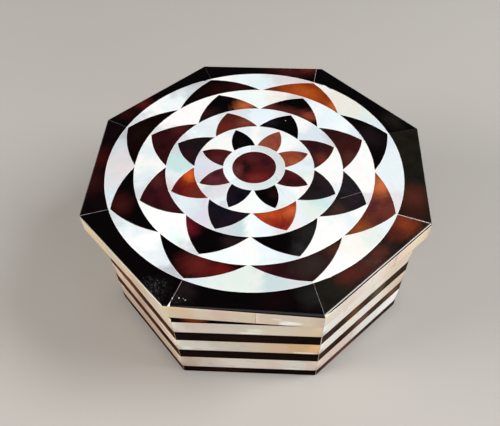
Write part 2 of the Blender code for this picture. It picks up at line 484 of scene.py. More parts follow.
def strip(builder, sides, i, first, last, low, high, material, thick=STRIP_T, seed=0, soft=0.06, corner=0.38):
    """One shell strip on wall i, from share first to share last of its length. low and high are heights, or pairs of them."""
    slot = builder.slot(material)
    normal, along, dist, start, end = wall_frame(sides, i)
    low = low if isinstance(low, tuple) else (low, low)
    high = high if isinstance(high, tuple) else (high, high)
    length = end - start
    s0, s1 = start + first * length, start + last * length
    at_start, at_end = first < 1e-6, last > 1 - 1e-6
    s0 += 0.10 if at_start else 0.04
    s1 -= 0.10 if at_end else 0.04
    inner = octagon(sides, thick)
    in0 = inner[i - 1].dot(along) + 0.05 if at_start else s0
    in1 = inner[i].dot(along) - 0.05 if at_end else s1
    count = max(3, round((s1 - s0) / 2.2))
    wide0, wide1 = (corner if at_start else soft), (corner if at_end else soft)
    columns = [s0, s0 + wide0] + [s0 + wide0 + (s1 - wide1 - s0 - wide0) * k / count for k in range(1, count)] + [s1 - wide1, s1]
    deep = [corner * 0.40 if at_start else soft] + [0.0] * (len(columns) - 2) + [corner * 0.40 if at_end else soft]

    def height(s, share):
        t = (s - start) / length
        a, b = low[0] + (low[1] - low[0]) * t, high[0] + (high[1] - high[0]) * t
        tall = max(b - a, 1e-3)
        steps = (0.0, min(soft, tall * 0.3), tall / 2, tall - min(soft, tall * 0.3), tall)
        return a + steps[share]

    grid = []
    for k, s in enumerate(columns):
        column = []
        for row in range(5):
            z = height(s, row)
            depth = max(deep[k], soft if row in (0, 4) else 0.0)
            depth += 0.010 * (1 + noise.noise(Vector((s / 7, z / 5, seed + 0.7)))) + 0.004
            p = normal * (dist - depth) + along * s
            column.append(builder.add(p.x, p.y, z))
        grid.append(column)
    back = []
    for k, s in enumerate(columns):
        t = (s - s0) / (s1 - s0)
        p = normal * (dist - thick) + along * (in0 + (in1 - in0) * t)
        back.append((builder.add(p.x, p.y, height(s, 0)), builder.add(p.x, p.y, height(s, 4))))
    for k in range(len(columns) - 1):
        for row in range(4):
            builder.face((grid[k][row], grid[k + 1][row], grid[k + 1][row + 1], grid[k][row + 1]), slot)
        builder.face((back[k][0], back[k + 1][0], grid[k + 1][0], grid[k][0]), slot)
        builder.face((grid[k][4], grid[k + 1][4], back[k + 1][1], back[k][1]), slot)
        builder.face((back[k + 1][0], back[k][0], back[k][1], back[k + 1][1]), slot)
    builder.face((back[0][0], *grid[0], back[0][1]), slot)
    builder.face((back[-1][1], *grid[-1][::-1], back[-1][0]), slot)


def edge_strip(builder, i, first, last, low, material, thick=STRIP_T, seed=0, soft=0.06, corner=0.22):
    """One strip of the lid's pearl edge: upright, its top worn round up to the dark tile above."""
    slot = builder.slot(material)
    normal, along, dist, start, end = wall_frame(LID_SIDES, i)
    length = end - start
    at_start, at_end = first < 1e-6, last > 1 - 1e-6
    s0 = start + first * length + (0.05 if at_start else 0.03)
    s1 = start + last * length - (0.05 if at_end else 0.03)
    inner = octagon(LID_SIDES, thick)
    lean0 = (inner[i - 1].dot(along) - start) / thick if at_start else 0.0
    lean1 = (inner[i].dot(along) - end) / thick if at_end else 0.0
    count = max(6, round((s1 - s0) / 1.6))
    wide0, wide1 = (corner if at_start else soft), (corner if at_end else soft)
    columns = [s0, s0 + wide0] + [s0 + wide0 + (s1 - wide1 - s0 - wide0) * k / count for k in range(1, count)] + [s1 - wide1, s1]
    grid = []
    for k, s in enumerate(columns):
        radius, dark = edge_round(i, (s - start) / length)
        last_turn = math.asin(max(0.0, 1 - dark / radius))
        turns = [last_turn * q / 5 for q in range(6)]
        rows = [(soft * 0.7, low), (0.0, low + soft), (0.0, low + soft + 0.10), (0.0, (low + TOP - radius) / 2)]
        rows += [(radius * (1 - math.cos(t)), TOP - 0.02 - radius * (1 - math.sin(t))) for t in turns]
        rows += [(rows[-1][0] + 0.07, TOP - EDGE_T - 0.04), (thick, TOP - EDGE_T - 0.04), (thick, low)]
        dull = 0.07 if k in (0, len(columns) - 1) else 0.0
        column = []
        for q, (inset, z) in enumerate(rows):
            if q < len(rows) - 2:
                inset += dull + 0.006 + 0.008 * (1 + noise.noise(Vector((s / 7, z / 5, seed + 0.7))))
            moved = s + (inset * lean0 if k == 0 else inset * lean1 if k == len(columns) - 1 else 0.0)
            if k in (1, len(columns) - 2):
                moved += inset * (lean0 if k == 1 else lean1)
            p = normal * (dist - inset) + along * moved
            column.append(builder.add(p.x, p.y, z))
        grid.append(column)
    around = len(grid[0])
    for k in range(len(columns) - 1):
        for q in range(around):
            r = (q + 1) % around
            builder.face((grid[k][q], grid[k + 1][q], grid[k + 1][r], grid[k][r]), slot)
    builder.face(grid[0], slot)
    builder.face(grid[-1][::-1], slot)


def corner_post(builder, sides, i, low, high, material, half=0.09, sink=0.17, thick=STRIP_T):
    """The filler in the mitre of corner i, a thin upright slip."""
    slot = builder.slot(material)
    outer, inner = octagon(sides, 0.0)[i], octagon(sides, thick)[i]
    inward = (inner - outer).normalized()
    side = left_of(inward)
    a, b = outer + inward * sink, inner
    shape = [a - side * half, b - side * half, b + side * half, a + side * half]
    if (shape[1] - shape[0]).x * (shape[2] - shape[1]).y - (shape[1] - shape[0]).y * (shape[2] - shape[1]).x < 0:
        shape = shape[::-1]
    bottom = [builder.add(p.x, p.y, low) for p in shape]
    top = [builder.add(p.x, p.y, high) for p in shape]
    builder.band(bottom, top, slot)
    builder.face(bottom[::-1], slot)
    builder.face(top, slot)


def joint_plate(builder, sides, z, half, material, sink=0.05, thick=STRIP_T):
    """The glue line between two bands, an eight-sided ring."""
    slot = builder.slot(material)
    rows = [[builder.add(p.x, p.y, level) for p in octagon(sides, inset)]
            for inset, level in ((sink, z - half), (sink, z + half), (thick, z + half), (thick, z - half))]
    for lower, upper in zip(rows, rows[1:] + rows[:1]):
        builder.band(lower, upper, slot)


# ---------------------------------------------------------------- materials

BLACK = (0.0014, 0.0008, 0.0012)
INK = (0.0060, 0.0028, 0.0034)
WALL_BLACK = (0.0060, 0.0024, 0.0016)
WALL_INK = (0.0100, 0.0040, 0.0030)
WALL_BROWN = (0.0520, 0.0185, 0.0080)
WALL_DUSK = (0.0450, 0.0240, 0.0160)
OLIVE = (0.0105, 0.0085, 0.0045)
WINE_BLACK = (0.015, 0.0026, 0.0036)
WINE = (0.055, 0.0085, 0.0090)
MAROON = (0.060, 0.0068, 0.0062)
RED = (0.130, 0.0140, 0.0080)
BROWN = (0.052, 0.0130, 0.0095)
GREY_BROWN = (0.026, 0.0150, 0.0115)
RED_BROWN = (0.140, 0.0260, 0.0140)
RUSSET = (0.270, 0.0500, 0.0190)
ORANGE = (0.420, 0.0850, 0.0130)
AMBER = (0.480, 0.1000, 0.0200)

WHITE = (0.93, 0.94, 0.94)
SNOW = (0.90, 0.88, 0.85)
CREAMY = (0.82, 0.80, 0.74)
ICE = (0.77, 0.855, 0.90)
SKY = (0.69, 0.79, 0.86)
MIST = (0.64, 0.69, 0.74)
STEEL = (0.50, 0.53, 0.59)
AQUA = (0.58, 0.78, 0.79)
SEA = (0.55, 0.69, 0.72)
MINT = (0.75, 0.83, 0.80)
LILAC = (0.71, 0.69, 0.80)
PEARL = (0.73, 0.73, 0.77)
WARM = (0.70, 0.66, 0.67)
PINK = (0.89, 0.81, 0.84)

CREAM = (0.86, 0.69, 0.50)
PALE_CREAM = (0.84, 0.75, 0.60)
BRIGHT_CREAM = (0.94, 0.86, 0.75)
ROSE_CREAM = (0.83, 0.66, 0.55)
ROSE = (0.74, 0.49, 0.37)
TAN = (0.76, 0.60, 0.45)
GREEN_CREAM = (0.80, 0.75, 0.58)
GOLD = (0.95, 0.60, 0.26)
PALE_GOLD = (0.91, 0.69, 0.42)
LILAC_CREAM = (0.80, 0.70, 0.63)
PEARL_WHITE = (0.94, 0.93, 0.90)
DEEP_CREAM = (0.83, 0.61, 0.40)
OAT = (0.81, 0.66, 0.49)
ROSE_TAN = (0.79, 0.59, 0.47)
FAWN = (0.72, 0.60, 0.44)
DUSKY_CREAM = (0.71, 0.58, 0.48)
SILVER_CREAM = (0.77, 0.68, 0.56)
SILVER_ROSE = (0.84, 0.69, 0.59)
HONEY = (0.93, 0.66, 0.37)
BRASS = (0.79, 0.54, 0.34)
OCHRE = (0.78, 0.48, 0.20)
BRIGHT_GOLD = (0.99, 0.56, 0.22)
BROWN_CREAM = (0.62, 0.46, 0.35)
DARK_TAN = (0.66, 0.50, 0.33)
ROSY_GOLD = (0.92, 0.62, 0.42)
DARK_ROSE = (0.58, 0.32, 0.22)
MOSS_CREAM = (0.80, 0.70, 0.43)
FROST = (0.90, 0.81, 0.71)
PALE_SAGE = (0.84, 0.80, 0.71)
DUSKY_SILVER = (0.74, 0.64, 0.54)
SAND = (0.83, 0.70, 0.54)
BRIGHT_ROSE = (0.94, 0.72, 0.56)
BRIGHT_HONEY = (1.00, 0.80, 0.55)
PALE_ROSE = (0.84, 0.69, 0.59)
PALE_SILVER = (0.82, 0.74, 0.64)
PALE_SAND = (0.88, 0.77, 0.61)
WARM_ROSE = (0.76, 0.49, 0.36)
BLUSH = (0.96, 0.72, 0.61)
AMBER_TAN = (0.60, 0.38, 0.22)
DULL_TAN = (0.66, 0.45, 0.29)
IVORY = (1.00, 0.91, 0.76)
PAINTED_HIGHLIGHT_WHITE = (1.00, 1.00, 0.97)


class Nodes:
    """A few words for building a material's node tree."""

    def __init__(self, name):
        self.material = bpy.data.materials.new(name)
        self.material.use_nodes = True
        self.tree = self.material.node_tree
        self.shader = self.tree.nodes["Principled BSDF"]
        self.place = self.node("ShaderNodeTexCoord").outputs["Object"]

    def node(self, kind, **settings):
        made = self.tree.nodes.new(kind)
        for key, value in settings.items():
            setattr(made, key, value)
        return made

    def put(self, socket, value):
        if isinstance(value, bpy.types.NodeSocket):
            self.tree.links.new(value, socket)
        elif value is not None:
            socket.default_value = value

    def maths(self, operation, a, b=None, c=None, clamp=False):
        made = self.node("ShaderNodeMath", operation=operation, use_clamp=clamp)
        for socket, value in zip(made.inputs, (a, b, c)):
            self.put(socket, value)
        return made.outputs[0]

    def vector(self, operation, a, b=None, scale=None):
        made = self.node("ShaderNodeVectorMath", operation=operation)
        self.put(made.inputs[0], a)
        if b is not None:
            self.put(made.inputs[1], b)
        if scale is not None:
            self.put(made.inputs["Scale"], scale)
        return made.outputs["Value"] if operation in ("DOT_PRODUCT", "LENGTH", "DISTANCE") else made.outputs["Vector"]

    def turned(self, vector, angle, centre=(0, 0, 0)):
        made = self.node("ShaderNodeVectorRotate", rotation_type="Z_AXIS")
        self.put(made.inputs["Vector"], vector)
        made.inputs["Center"].default_value = centre
        made.inputs["Angle"].default_value = -angle
        return made.outputs["Vector"]

    def noise(self, vector, scale, detail=2.0, rough=0.5, warp=0.0, colour=False):
        made = self.node("ShaderNodeTexNoise")
        self.put(made.inputs["Vector"], vector)
        made.inputs["Scale"].default_value = scale
        made.inputs["Detail"].default_value = detail
        made.inputs["Roughness"].default_value = rough
        made.inputs["Distortion"].default_value = warp
        return made.outputs["Color" if colour else "Fac"]

    def ranged(self, value, a, b, c=0.0, d=1.0, smooth=True):
        made = self.node("ShaderNodeMapRange", interpolation_type="SMOOTHSTEP" if smooth else "LINEAR", clamp=True)
        self.put(made.inputs["Value"], value)
        for key, number in (("From Min", a), ("From Max", b), ("To Min", c), ("To Max", d)):
            self.put(made.inputs[key], number)
        return made.outputs["Result"]

    def mix(self, share, a, b, kind="MIX"):
        made = self.node("ShaderNodeMix", data_type="RGBA", blend_type=kind)
        made.clamp_factor = True
        self.put(made.inputs[0], share)
        self.put(made.inputs[6], (*a, 1.0) if isinstance(a, tuple) and len(a) == 3 else a)
        self.put(made.inputs[7], (*b, 1.0) if isinstance(b, tuple) and len(b) == 3 else b)
        return made.outputs[2]

    def ramp(self, value, stops):
        made = self.node("ShaderNodeValToRGB")
        made.color_ramp.interpolation = "EASE"
        self.put(made.inputs["Fac"], value)
        points = made.color_ramp.elements
        while len(points) < len(stops):
            points.new(0.5)
        for point, (at, colour) in zip(points, sorted(stops)):
            point.position = at
        for point, (at, colour) in zip(points, sorted(stops)):
            point.color = (*colour, 1.0)
        return made.outputs["Color"]

    def bump(self, height, strength, distance, normal=None):
        made = self.node("ShaderNodeBump")
        made.inputs["Strength"].default_value = strength
        made.inputs["Distance"].default_value = distance
        self.put(made.inputs["Height"], height)
        self.put(made.inputs["Normal"], normal)
        return made.outputs["Normal"]

    def offset(self, seed):
        """Coordinates in millimetres, moved to a place of their own in the noise."""
        rng = random.Random(seed)
        at = self.vector("SCALE", self.place, scale=1000.0)
        return self.vector("ADD", at, (rng.uniform(-400, 400), rng.uniform(-400, 400), rng.uniform(-400, 400)))


def lacquer(n, base_normal, seed, coat=1.0):
    """The clear gloss coat over shell: level to the eye, with orange peel and a few hairline rubs."""
    spot = n.offset(seed)
    peel = n.noise(spot, 0.55, 2.0, 0.5)
    rub = n.noise(n.vector("MULTIPLY", n.turned(spot, 0.6), (0.25, 6.0, 6.0)), 0.5, 2.0, 0.6)
    height = n.maths("ADD", n.maths("MULTIPLY", peel, 1.0), n.maths("MULTIPLY", rub, 0.002))
    n.put(n.shader.inputs["Coat Normal"], n.bump(height, 0.12, 0.00002))
    n.shader.inputs["Coat Weight"].default_value = coat
    n.shader.inputs["Coat Roughness"].default_value = 0.035
    n.shader.inputs["Coat IOR"].default_value = 1.48
    if base_normal is not None:
        n.put(n.shader.inputs["Normal"], base_normal)


def specks(n, spot, size, share, radius):
    """Mask of small round grains: a share of the cells of this size, in mm, hold one."""
    cells = n.node("ShaderNodeTexVoronoi", feature="F1")
    n.put(cells.inputs["Vector"], spot)
    cells.inputs["Scale"].default_value = 1.0 / size
    parts = n.node("ShaderNodeSeparateColor")
    n.put(parts.inputs[0], cells.outputs["Color"])
    chosen = n.maths("LESS_THAN", parts.outputs[0], share)
    reach = n.maths("MULTIPLY", n.maths("ADD", parts.outputs[1], 0.4), radius / size)
    near = n.maths("LESS_THAN", cells.outputs["Distance"], reach)
    return n.maths("MULTIPLY", chosen, near)


def dark_shell(name, base, glows=(), seed=0, grain=0.0, dust=None, scratch=None, speck=None, mottle=1.0, coat=1.0, cracks=(), ragged=0.8):
    """Dark shell under lacquer. Each glow is (place in mm, turn, (reach along, across, up), colour)."""
    n = Nodes(name)
    mm = n.vector("SCALE", n.place, scale=1000.0)
    spot = n.offset(seed)
    warp = n.vector("SCALE", n.vector("SUBTRACT", n.noise(spot, 0.17, 4.0, 0.68, colour=True), (0.5, 0.5, 0.5)), scale=5.0)
    warped = n.vector("ADD", mm, warp)
    streaks = n.noise(n.vector("MULTIPLY", n.turned(spot, grain), (0.22, 0.8, 0.8)), 0.8, 3.0, 0.55, 0.6)
    clouds = n.noise(spot, 0.22, 3.0, 0.55, 0.3)
    colour = n.mix(n.ranged(clouds, 0.35, 0.75, 0.0, 0.55 * mottle), base, tuple(min(1.0, c * 0.30) for c in base))
    for at, turn, reach, tone in glows:
        local = n.vector("SUBTRACT", warped, tuple(at))
        local = n.turned(local, turn)
        far = n.vector("LENGTH", n.vector("MULTIPLY", local, tuple(1.0 / r for r in reach)))
        broken = n.maths("ADD", far, n.maths("MULTIPLY", n.maths("SUBTRACT", streaks, 0.5), ragged))
        colour = n.mix(n.ranged(broken, 0.0, 1.4, 1.0, 0.0), colour, tone)
    for at, turn, half, wide, tone in cracks:
        local = n.turned(n.vector("SUBTRACT", warped, tuple(at)), turn)
        far = n.vector("LENGTH", n.vector("MULTIPLY", local, (1.0 / half, 1.0 / wide, 0.1)))
        colour = n.mix(n.ranged(far, 0.3, 1.0, 0.85, 0.0), colour, tone)
    shade = n.ranged(streaks, 0.30, 0.70, 0.88, 1.10, smooth=False)
    grey = n.node("ShaderNodeCombineColor")
    for socket in grey.inputs[:3]:
        n.put(socket, shade)
    colour = n.mix(1.0, colour, grey.outputs[0], "MULTIPLY")
    glint = n.ranged(n.noise(n.vector("MULTIPLY", n.turned(spot, grain + 0.4), (0.4, 1.1, 1.1)), 0.8, 2.0, 0.6), 0.56, 0.76, 0.0, 0.30)
    colour = n.mix(glint, colour, n.mix(1.0, colour, (1.9, 1.6, 1.5), "MULTIPLY"))
    loose = n.maths("MULTIPLY", specks(n, mm, 4.2, 0.12, 0.05), 0.5)
    if dust is not None:
        at, reach = dust
        far = n.vector("LENGTH", n.vector("MULTIPLY", n.vector("SUBTRACT", warped, tuple(at)), tuple(1.0 / r for r in reach)))
        here = n.ranged(far, 0.15, 1.0, 1.0, 0.0)
        scuff = n.noise(n.vector("MULTIPLY", n.turned(spot, 2.2), (0.45, 1.6, 1.6)), 1.3, 5.0, 0.78, 0.8)
        haze = n.maths("MULTIPLY", here, n.ranged(scuff, 0.46, 0.74, 0.0, 0.19))
        colour = n.mix(haze, colour, (0.30, 0.29, 0.28))
        grains = n.maths("MULTIPLY", specks(n, mm, 0.7, 0.45, 0.13), n.ranged(far, 0.2, 1.0, 0.34, 0.0))
        loose = n.maths("MAXIMUM", loose, grains)
    if speck is not None:
        for at, radius, strength in speck:
            near = n.vector("LENGTH", n.vector("SUBTRACT", mm, tuple(at)))
            loose = n.maths("MAXIMUM", loose, n.ranged(near, radius * 0.4, radius, 1.5 * strength, 0.0))
    colour = n.mix(n.maths("MULTIPLY", loose, 0.55), colour, (0.62, 0.60, 0.58))
    if scratch is not None:
        at, turn, half, wide = scratch
        local = n.turned(n.vector("SUBTRACT", mm, tuple(at)), turn)
        axes = n.node("ShaderNodeSeparateXYZ")
        n.put(axes.inputs[0], local)
        across = n.ranged(n.maths("ABSOLUTE", axes.outputs[1]), wide * 0.3, wide, 1.0, 0.0)
        along = n.ranged(n.maths("ABSOLUTE", axes.outputs[0]), half * 0.92, half, 1.0, 0.0)
        line = n.maths("MULTIPLY", n.maths("MULTIPLY", across, along), n.ranged(n.noise(spot, 1.6, 2.0), 0.25, 0.6, 0.5, 1.0))
        colour = n.mix(n.maths("MULTIPLY", line, 0.75), colour, (0.20, 0.15, 0.15))
    n.put(n.shader.inputs["Base Color"], colour)
    n.put(n.shader.inputs["Roughness"], n.ranged(streaks, 0.3, 0.7, 0.24, 0.42, smooth=False))
    n.shader.inputs["Specular IOR Level"].default_value = 0.02 if coat > 0.5 else 0.0
    relief = n.bump(n.maths("ADD", streaks, n.maths("MULTIPLY", loose, 0.8)), 0.08, 0.00003)
    lacquer(n, relief, seed + 5, coat)
    return n.material


def nacre(name, tints, seed, grain, span=12.0, centre=(0, 0, 0), toward=None, painted_flashes=(), lustre=0.16, contrast=1.0, play=0.5):
    """Pearl shell under lacquer: pale tints that drift across the tile, silky growth lines, and a soft lustre.

    Each flash is a place where a sheet of the nacre leans: (place in mm, turn, reach, tone, lean). Its tone is a
    painted highlight mixed into the colour; its lean tilts the shading normal.
    """
    n = Nodes(name)
    mm = n.vector("SCALE", n.place, scale=1000.0)
    spot = n.offset(seed)
    drift = n.noise(spot, 0.16, 2.0, 0.5, 0.3)
    local = n.turned(n.vector("SUBTRACT", mm, tuple(centre)), grain if toward is None else toward)
    axes = n.node("ShaderNodeSeparateXYZ")
    n.put(axes.inputs[0], local)
    run = n.maths("MULTIPLY_ADD", axes.outputs[0], 0.5 / span, 0.5)
    value = n.maths("ADD", run, n.maths("MULTIPLY", n.maths("SUBTRACT", drift, 0.5), 0.55 * contrast), clamp=True)
    stops = [(k / (len(tints) - 1), tint) for k, tint in enumerate(tints)]
    colour = n.ramp(value, stops)
    flow = n.turned(spot, grain)
    silk = n.noise(n.vector("MULTIPLY", flow, (0.14, 0.34, 0.34)), 0.75, 1.0, 0.4)
    hair = n.noise(n.vector("MULTIPLY", flow, (0.16, 2.6, 2.6)), 1.0, 2.0, 0.6)
    layer = n.maths("ADD", n.maths("MULTIPLY", silk, 0.94), n.maths("MULTIPLY", hair, 0.06))
    shade = n.ranged(layer, 0.25, 0.75, 1.0 - 0.030 * contrast, 1.012)
    grey = n.node("ShaderNodeCombineColor")
    for socket in grey.inputs[:3]:
        n.put(socket, shade)
    colour = n.mix(1.0, colour, grey.outputs[0], "MULTIPLY")
    fire = n.ranged(n.noise(n.vector("MULTIPLY", flow, (0.12, 0.24, 0.24)), 1.0, 1.0, 0.4, 0.5), 0.40, 0.66)
    hue = n.ramp(n.noise(spot, 0.17, 1.0, 0.5, 0.6), [(0.32, (0.86, 0.99, 0.98)), (0.44, (0.91, 1.0, 0.95)), (0.54, (1.0, 0.99, 1.0)), (0.64, (1.0, 0.93, 0.96)), (0.74, (0.94, 0.94, 1.0))])
    colour = n.mix(n.maths("MULTIPLY", fire, play), colour, n.mix(1.0, colour, hue, "MULTIPLY"))
    flare = None
    for at, turn, reach, tone, tilt in painted_flashes:
        local = n.turned(n.vector("SUBTRACT", mm, tuple(at)), turn)
        far = n.vector("LENGTH", n.vector("MULTIPLY", local, tuple(1.0 / r for r in reach)))
        ragged = n.noise(n.vector("MULTIPLY", flow, (0.35, 1.3, 1.3)), 1.0, 3.0, 0.6)
        broken = n.maths("ADD", far, n.maths("MULTIPLY", n.maths("SUBTRACT", ragged, 0.5), 1.5))
        mask = n.ranged(broken, 0.40, 1.10, 1.0, 0.0)
        # painted highlight: the flash's tone is mixed into the colour
        colour = n.mix(mask, colour, tone)
        push = n.vector("SCALE", tuple(tilt), scale=mask)
        flare = push if flare is None else n.vector("ADD", flare, push)
    n.put(n.shader.inputs["Base Color"], colour)
    n.put(n.shader.inputs["Roughness"], n.ranged(silk, 0.25, 0.75, 0.27, 0.37))
    n.put(n.shader.inputs["Metallic"], n.ranged(silk, 0.25, 0.75, lustre * 0.6, lustre))
    n.shader.inputs["Specular IOR Level"].default_value = 0.5
    n.shader.inputs["Thin Film Thickness"].default_value = 430.0
    n.shader.inputs["Thin Film IOR"].default_value = 1.40
    relief = n.bump(silk, 0.03, 0.00005)
    if flare is not None:
        leant = n.node("ShaderNodeVectorTransform", vector_type="VECTOR", convert_from="OBJECT", convert_to="WORLD")
        n.put(leant.inputs[0], flare)
        relief = n.vector("NORMALIZE", n.vector("ADD", relief, leant.outputs[0]))
    lacquer(n, relief, seed + 5)
    return n.material


def filler(name, tone, seed, dark=None):
    """Set filler or glue in a joint, a little uneven."""
    n = Nodes(name)
    spot = n.offset(seed)
    patches = n.noise(spot, 0.5, 4.0, 0.65)
    n.put(n.shader.inputs["Base Color"], n.mix(n.ranged(patches, 0.35, 0.65), tone, dark or tuple(c * 0.55 for c in tone)))
    n.put(n.shader.inputs["Roughness"], n.ranged(patches, 0.3, 0.7, 0.3, 0.5))
    lacquer(n, n.bump(patches, 0.2, 0.00003), seed + 5, 0.8)
    return n.material


def timber(name, tone, deep, seed):
    """Plain close-grained wood of the carcass, rubbed with a thin dark finish."""
    n = Nodes(name)
    spot = n.offset(seed)
    grain = n.noise(n.vector("MULTIPLY", spot, (0.05, 0.9, 0.9)), 1.0, 5.0, 0.6, 0.8)
    pores = n.noise(n.vector("MULTIPLY", spot, (0.18, 5.0, 5.0)), 1.0, 3.0, 0.7)
    colour = n.ramp(n.maths("ADD", n.maths("MULTIPLY", grain, 0.75), n.maths("MULTIPLY", pores, 0.25)),
                    [(0.25, deep), (0.5, tone), (0.75, tuple(min(1.0, c * 1.45) for c in tone))])
    n.put(n.shader.inputs["Base Color"], colour)
    n.put(n.shader.inputs["Roughness"], n.ranged(pores, 0.3, 0.7, 0.42, 0.62))
    n.put(n.shader.inputs["Normal"], n.bump(n.maths("ADD", grain, n.maths("MULTIPLY", pores, 0.6)), 0.3, 0.00012))
    return n.material


# ---------------------------------------------------------------- mosaic outlines

def petal_feet(ring, spoke):
    slack = FOOT[ring] / CIRCLES[ring - 1]
    return (mid_angle(spoke) + slack, mid_angle(spoke + 1) - slack)


def petal_edges(ring, spoke):
    """Right side, left side and base of a dark petal, counter-clockwise."""
    a0, a1 = petal_feet(ring, spoke)
    foot_a, foot_b = polar(CIRCLES[ring - 1], a0), polar(CIRCLES[ring - 1], a1)
    tip = polar(TIPS[ring], tip_angle(spoke))
    middle = (foot_a + foot_b + tip) / 3
    return [bow(foot_a, tip, BULGE[ring], middle, JOINT, SOFT),
            bow(tip, foot_b, BULGE[ring], middle, JOINT, SOFT),
            Arc(MOSAIC_AT, CIRCLES[ring - 1], a1 + MOSAIC_TURN, a0 + MOSAIC_TURN, JOINT, SOFT)]


def flipped(edge):
    return Arc(edge.centre, edge.radius, edge.last, edge.first, edge.gap, edge.bevel)


def pearl_edges(ring, facet):
    """A pearl tile between two petals, from its neck round its back."""
    right, left = petal_edges(ring, facet - 1), petal_edges(ring, facet)
    slack = FOOT[ring] / CIRCLES[ring - 1]
    middle = mid_angle(facet)
    tip_r, tip_l = polar(TIPS[ring], tip_angle(facet - 1)), polar(TIPS[ring], tip_angle(facet))
    back = Arc(MOSAIC_AT, CIRCLES[ring], tip_angle(facet - 1) + MOSAIC_TURN, tip_angle(facet) + MOSAIC_TURN, JOINT, SOFT)
    neck = Arc(MOSAIC_AT, CIRCLES[ring - 1], middle + slack + MOSAIC_TURN, middle - slack + MOSAIC_TURN, JOINT, SOFT)
    return [flipped(right[1]), Line(tip_r, back.start, JOINT * 0.6, SOFT * 0.7), back, Line(back.end, tip_l, JOINT * 0.6, SOFT * 0.7),
            flipped(left[0]), neck]


def mitre_end(spoke):
    """Where a border joint meets the lid's outline, on the edge after the corner if it misses it."""
    corner, slip = LID_CORNERS[spoke % 8], MITRES[spoke % 8][2]
    return corner + (LID_CORNERS[(spoke + 1) % 8] - corner).normalized() * slip


def border_edges(facet):
    before, after = (facet - 1) % 8, facet % 8
    start_point, end_point = mitre_end(before), mitre_end(after)
    run = LID_CORNERS[after] - LID_CORNERS[before]
    first = MITRES[before][2] / run.length
    cuts = [first] + [share for share, _ in REACH.get(facet, ()) if first + 0.01 < share < 0.99] + [1.0]
    edges = [Line(LID_CORNERS[before] + run * a, LID_CORNERS[before] + run * b, 0.0, SOFT, outer=facet, shares=(a, b))
             for a, b in zip(cuts, cuts[1:])]
    if MITRES[after][2] > 0:
        following = (LID_CORNERS[(after + 1) % 8] - LID_CORNERS[after]).length
        edges.append(Line(LID_CORNERS[after], end_point, 0.0, SOFT, outer=facet + 1, shares=(0.0, MITRES[after][2] / following)))
    a_end, a_start = tip_angle(facet), tip_angle(facet - 1)
    edges.append(Line(end_point, polar(CIRCLES[4], a_end), MITRES[after][0], SOFT))
    edges.append(Arc(MOSAIC_AT, CIRCLES[4], a_end + MOSAIC_TURN, a_start + MOSAIC_TURN, JOINT, SOFT))
    edges.append(Line(polar(CIRCLES[4], a_start), start_point, MITRES[before][0], SOFT))
    return edges


def at(angle, radius, z=TOP):
    """A place on the lid for a glow, in mm in the row frame, and the turn of its long way."""
    p = polar(radius, math.radians(angle)) + SHIFT
    return (p.x, p.y, z), math.radians(angle + 90) + MOSAIC_TURN


def glow(angle, radius, along, across, tone):
    place_mm, turn = at(angle, radius)
    return (place_mm, turn, (along, across, 6.0), tone)


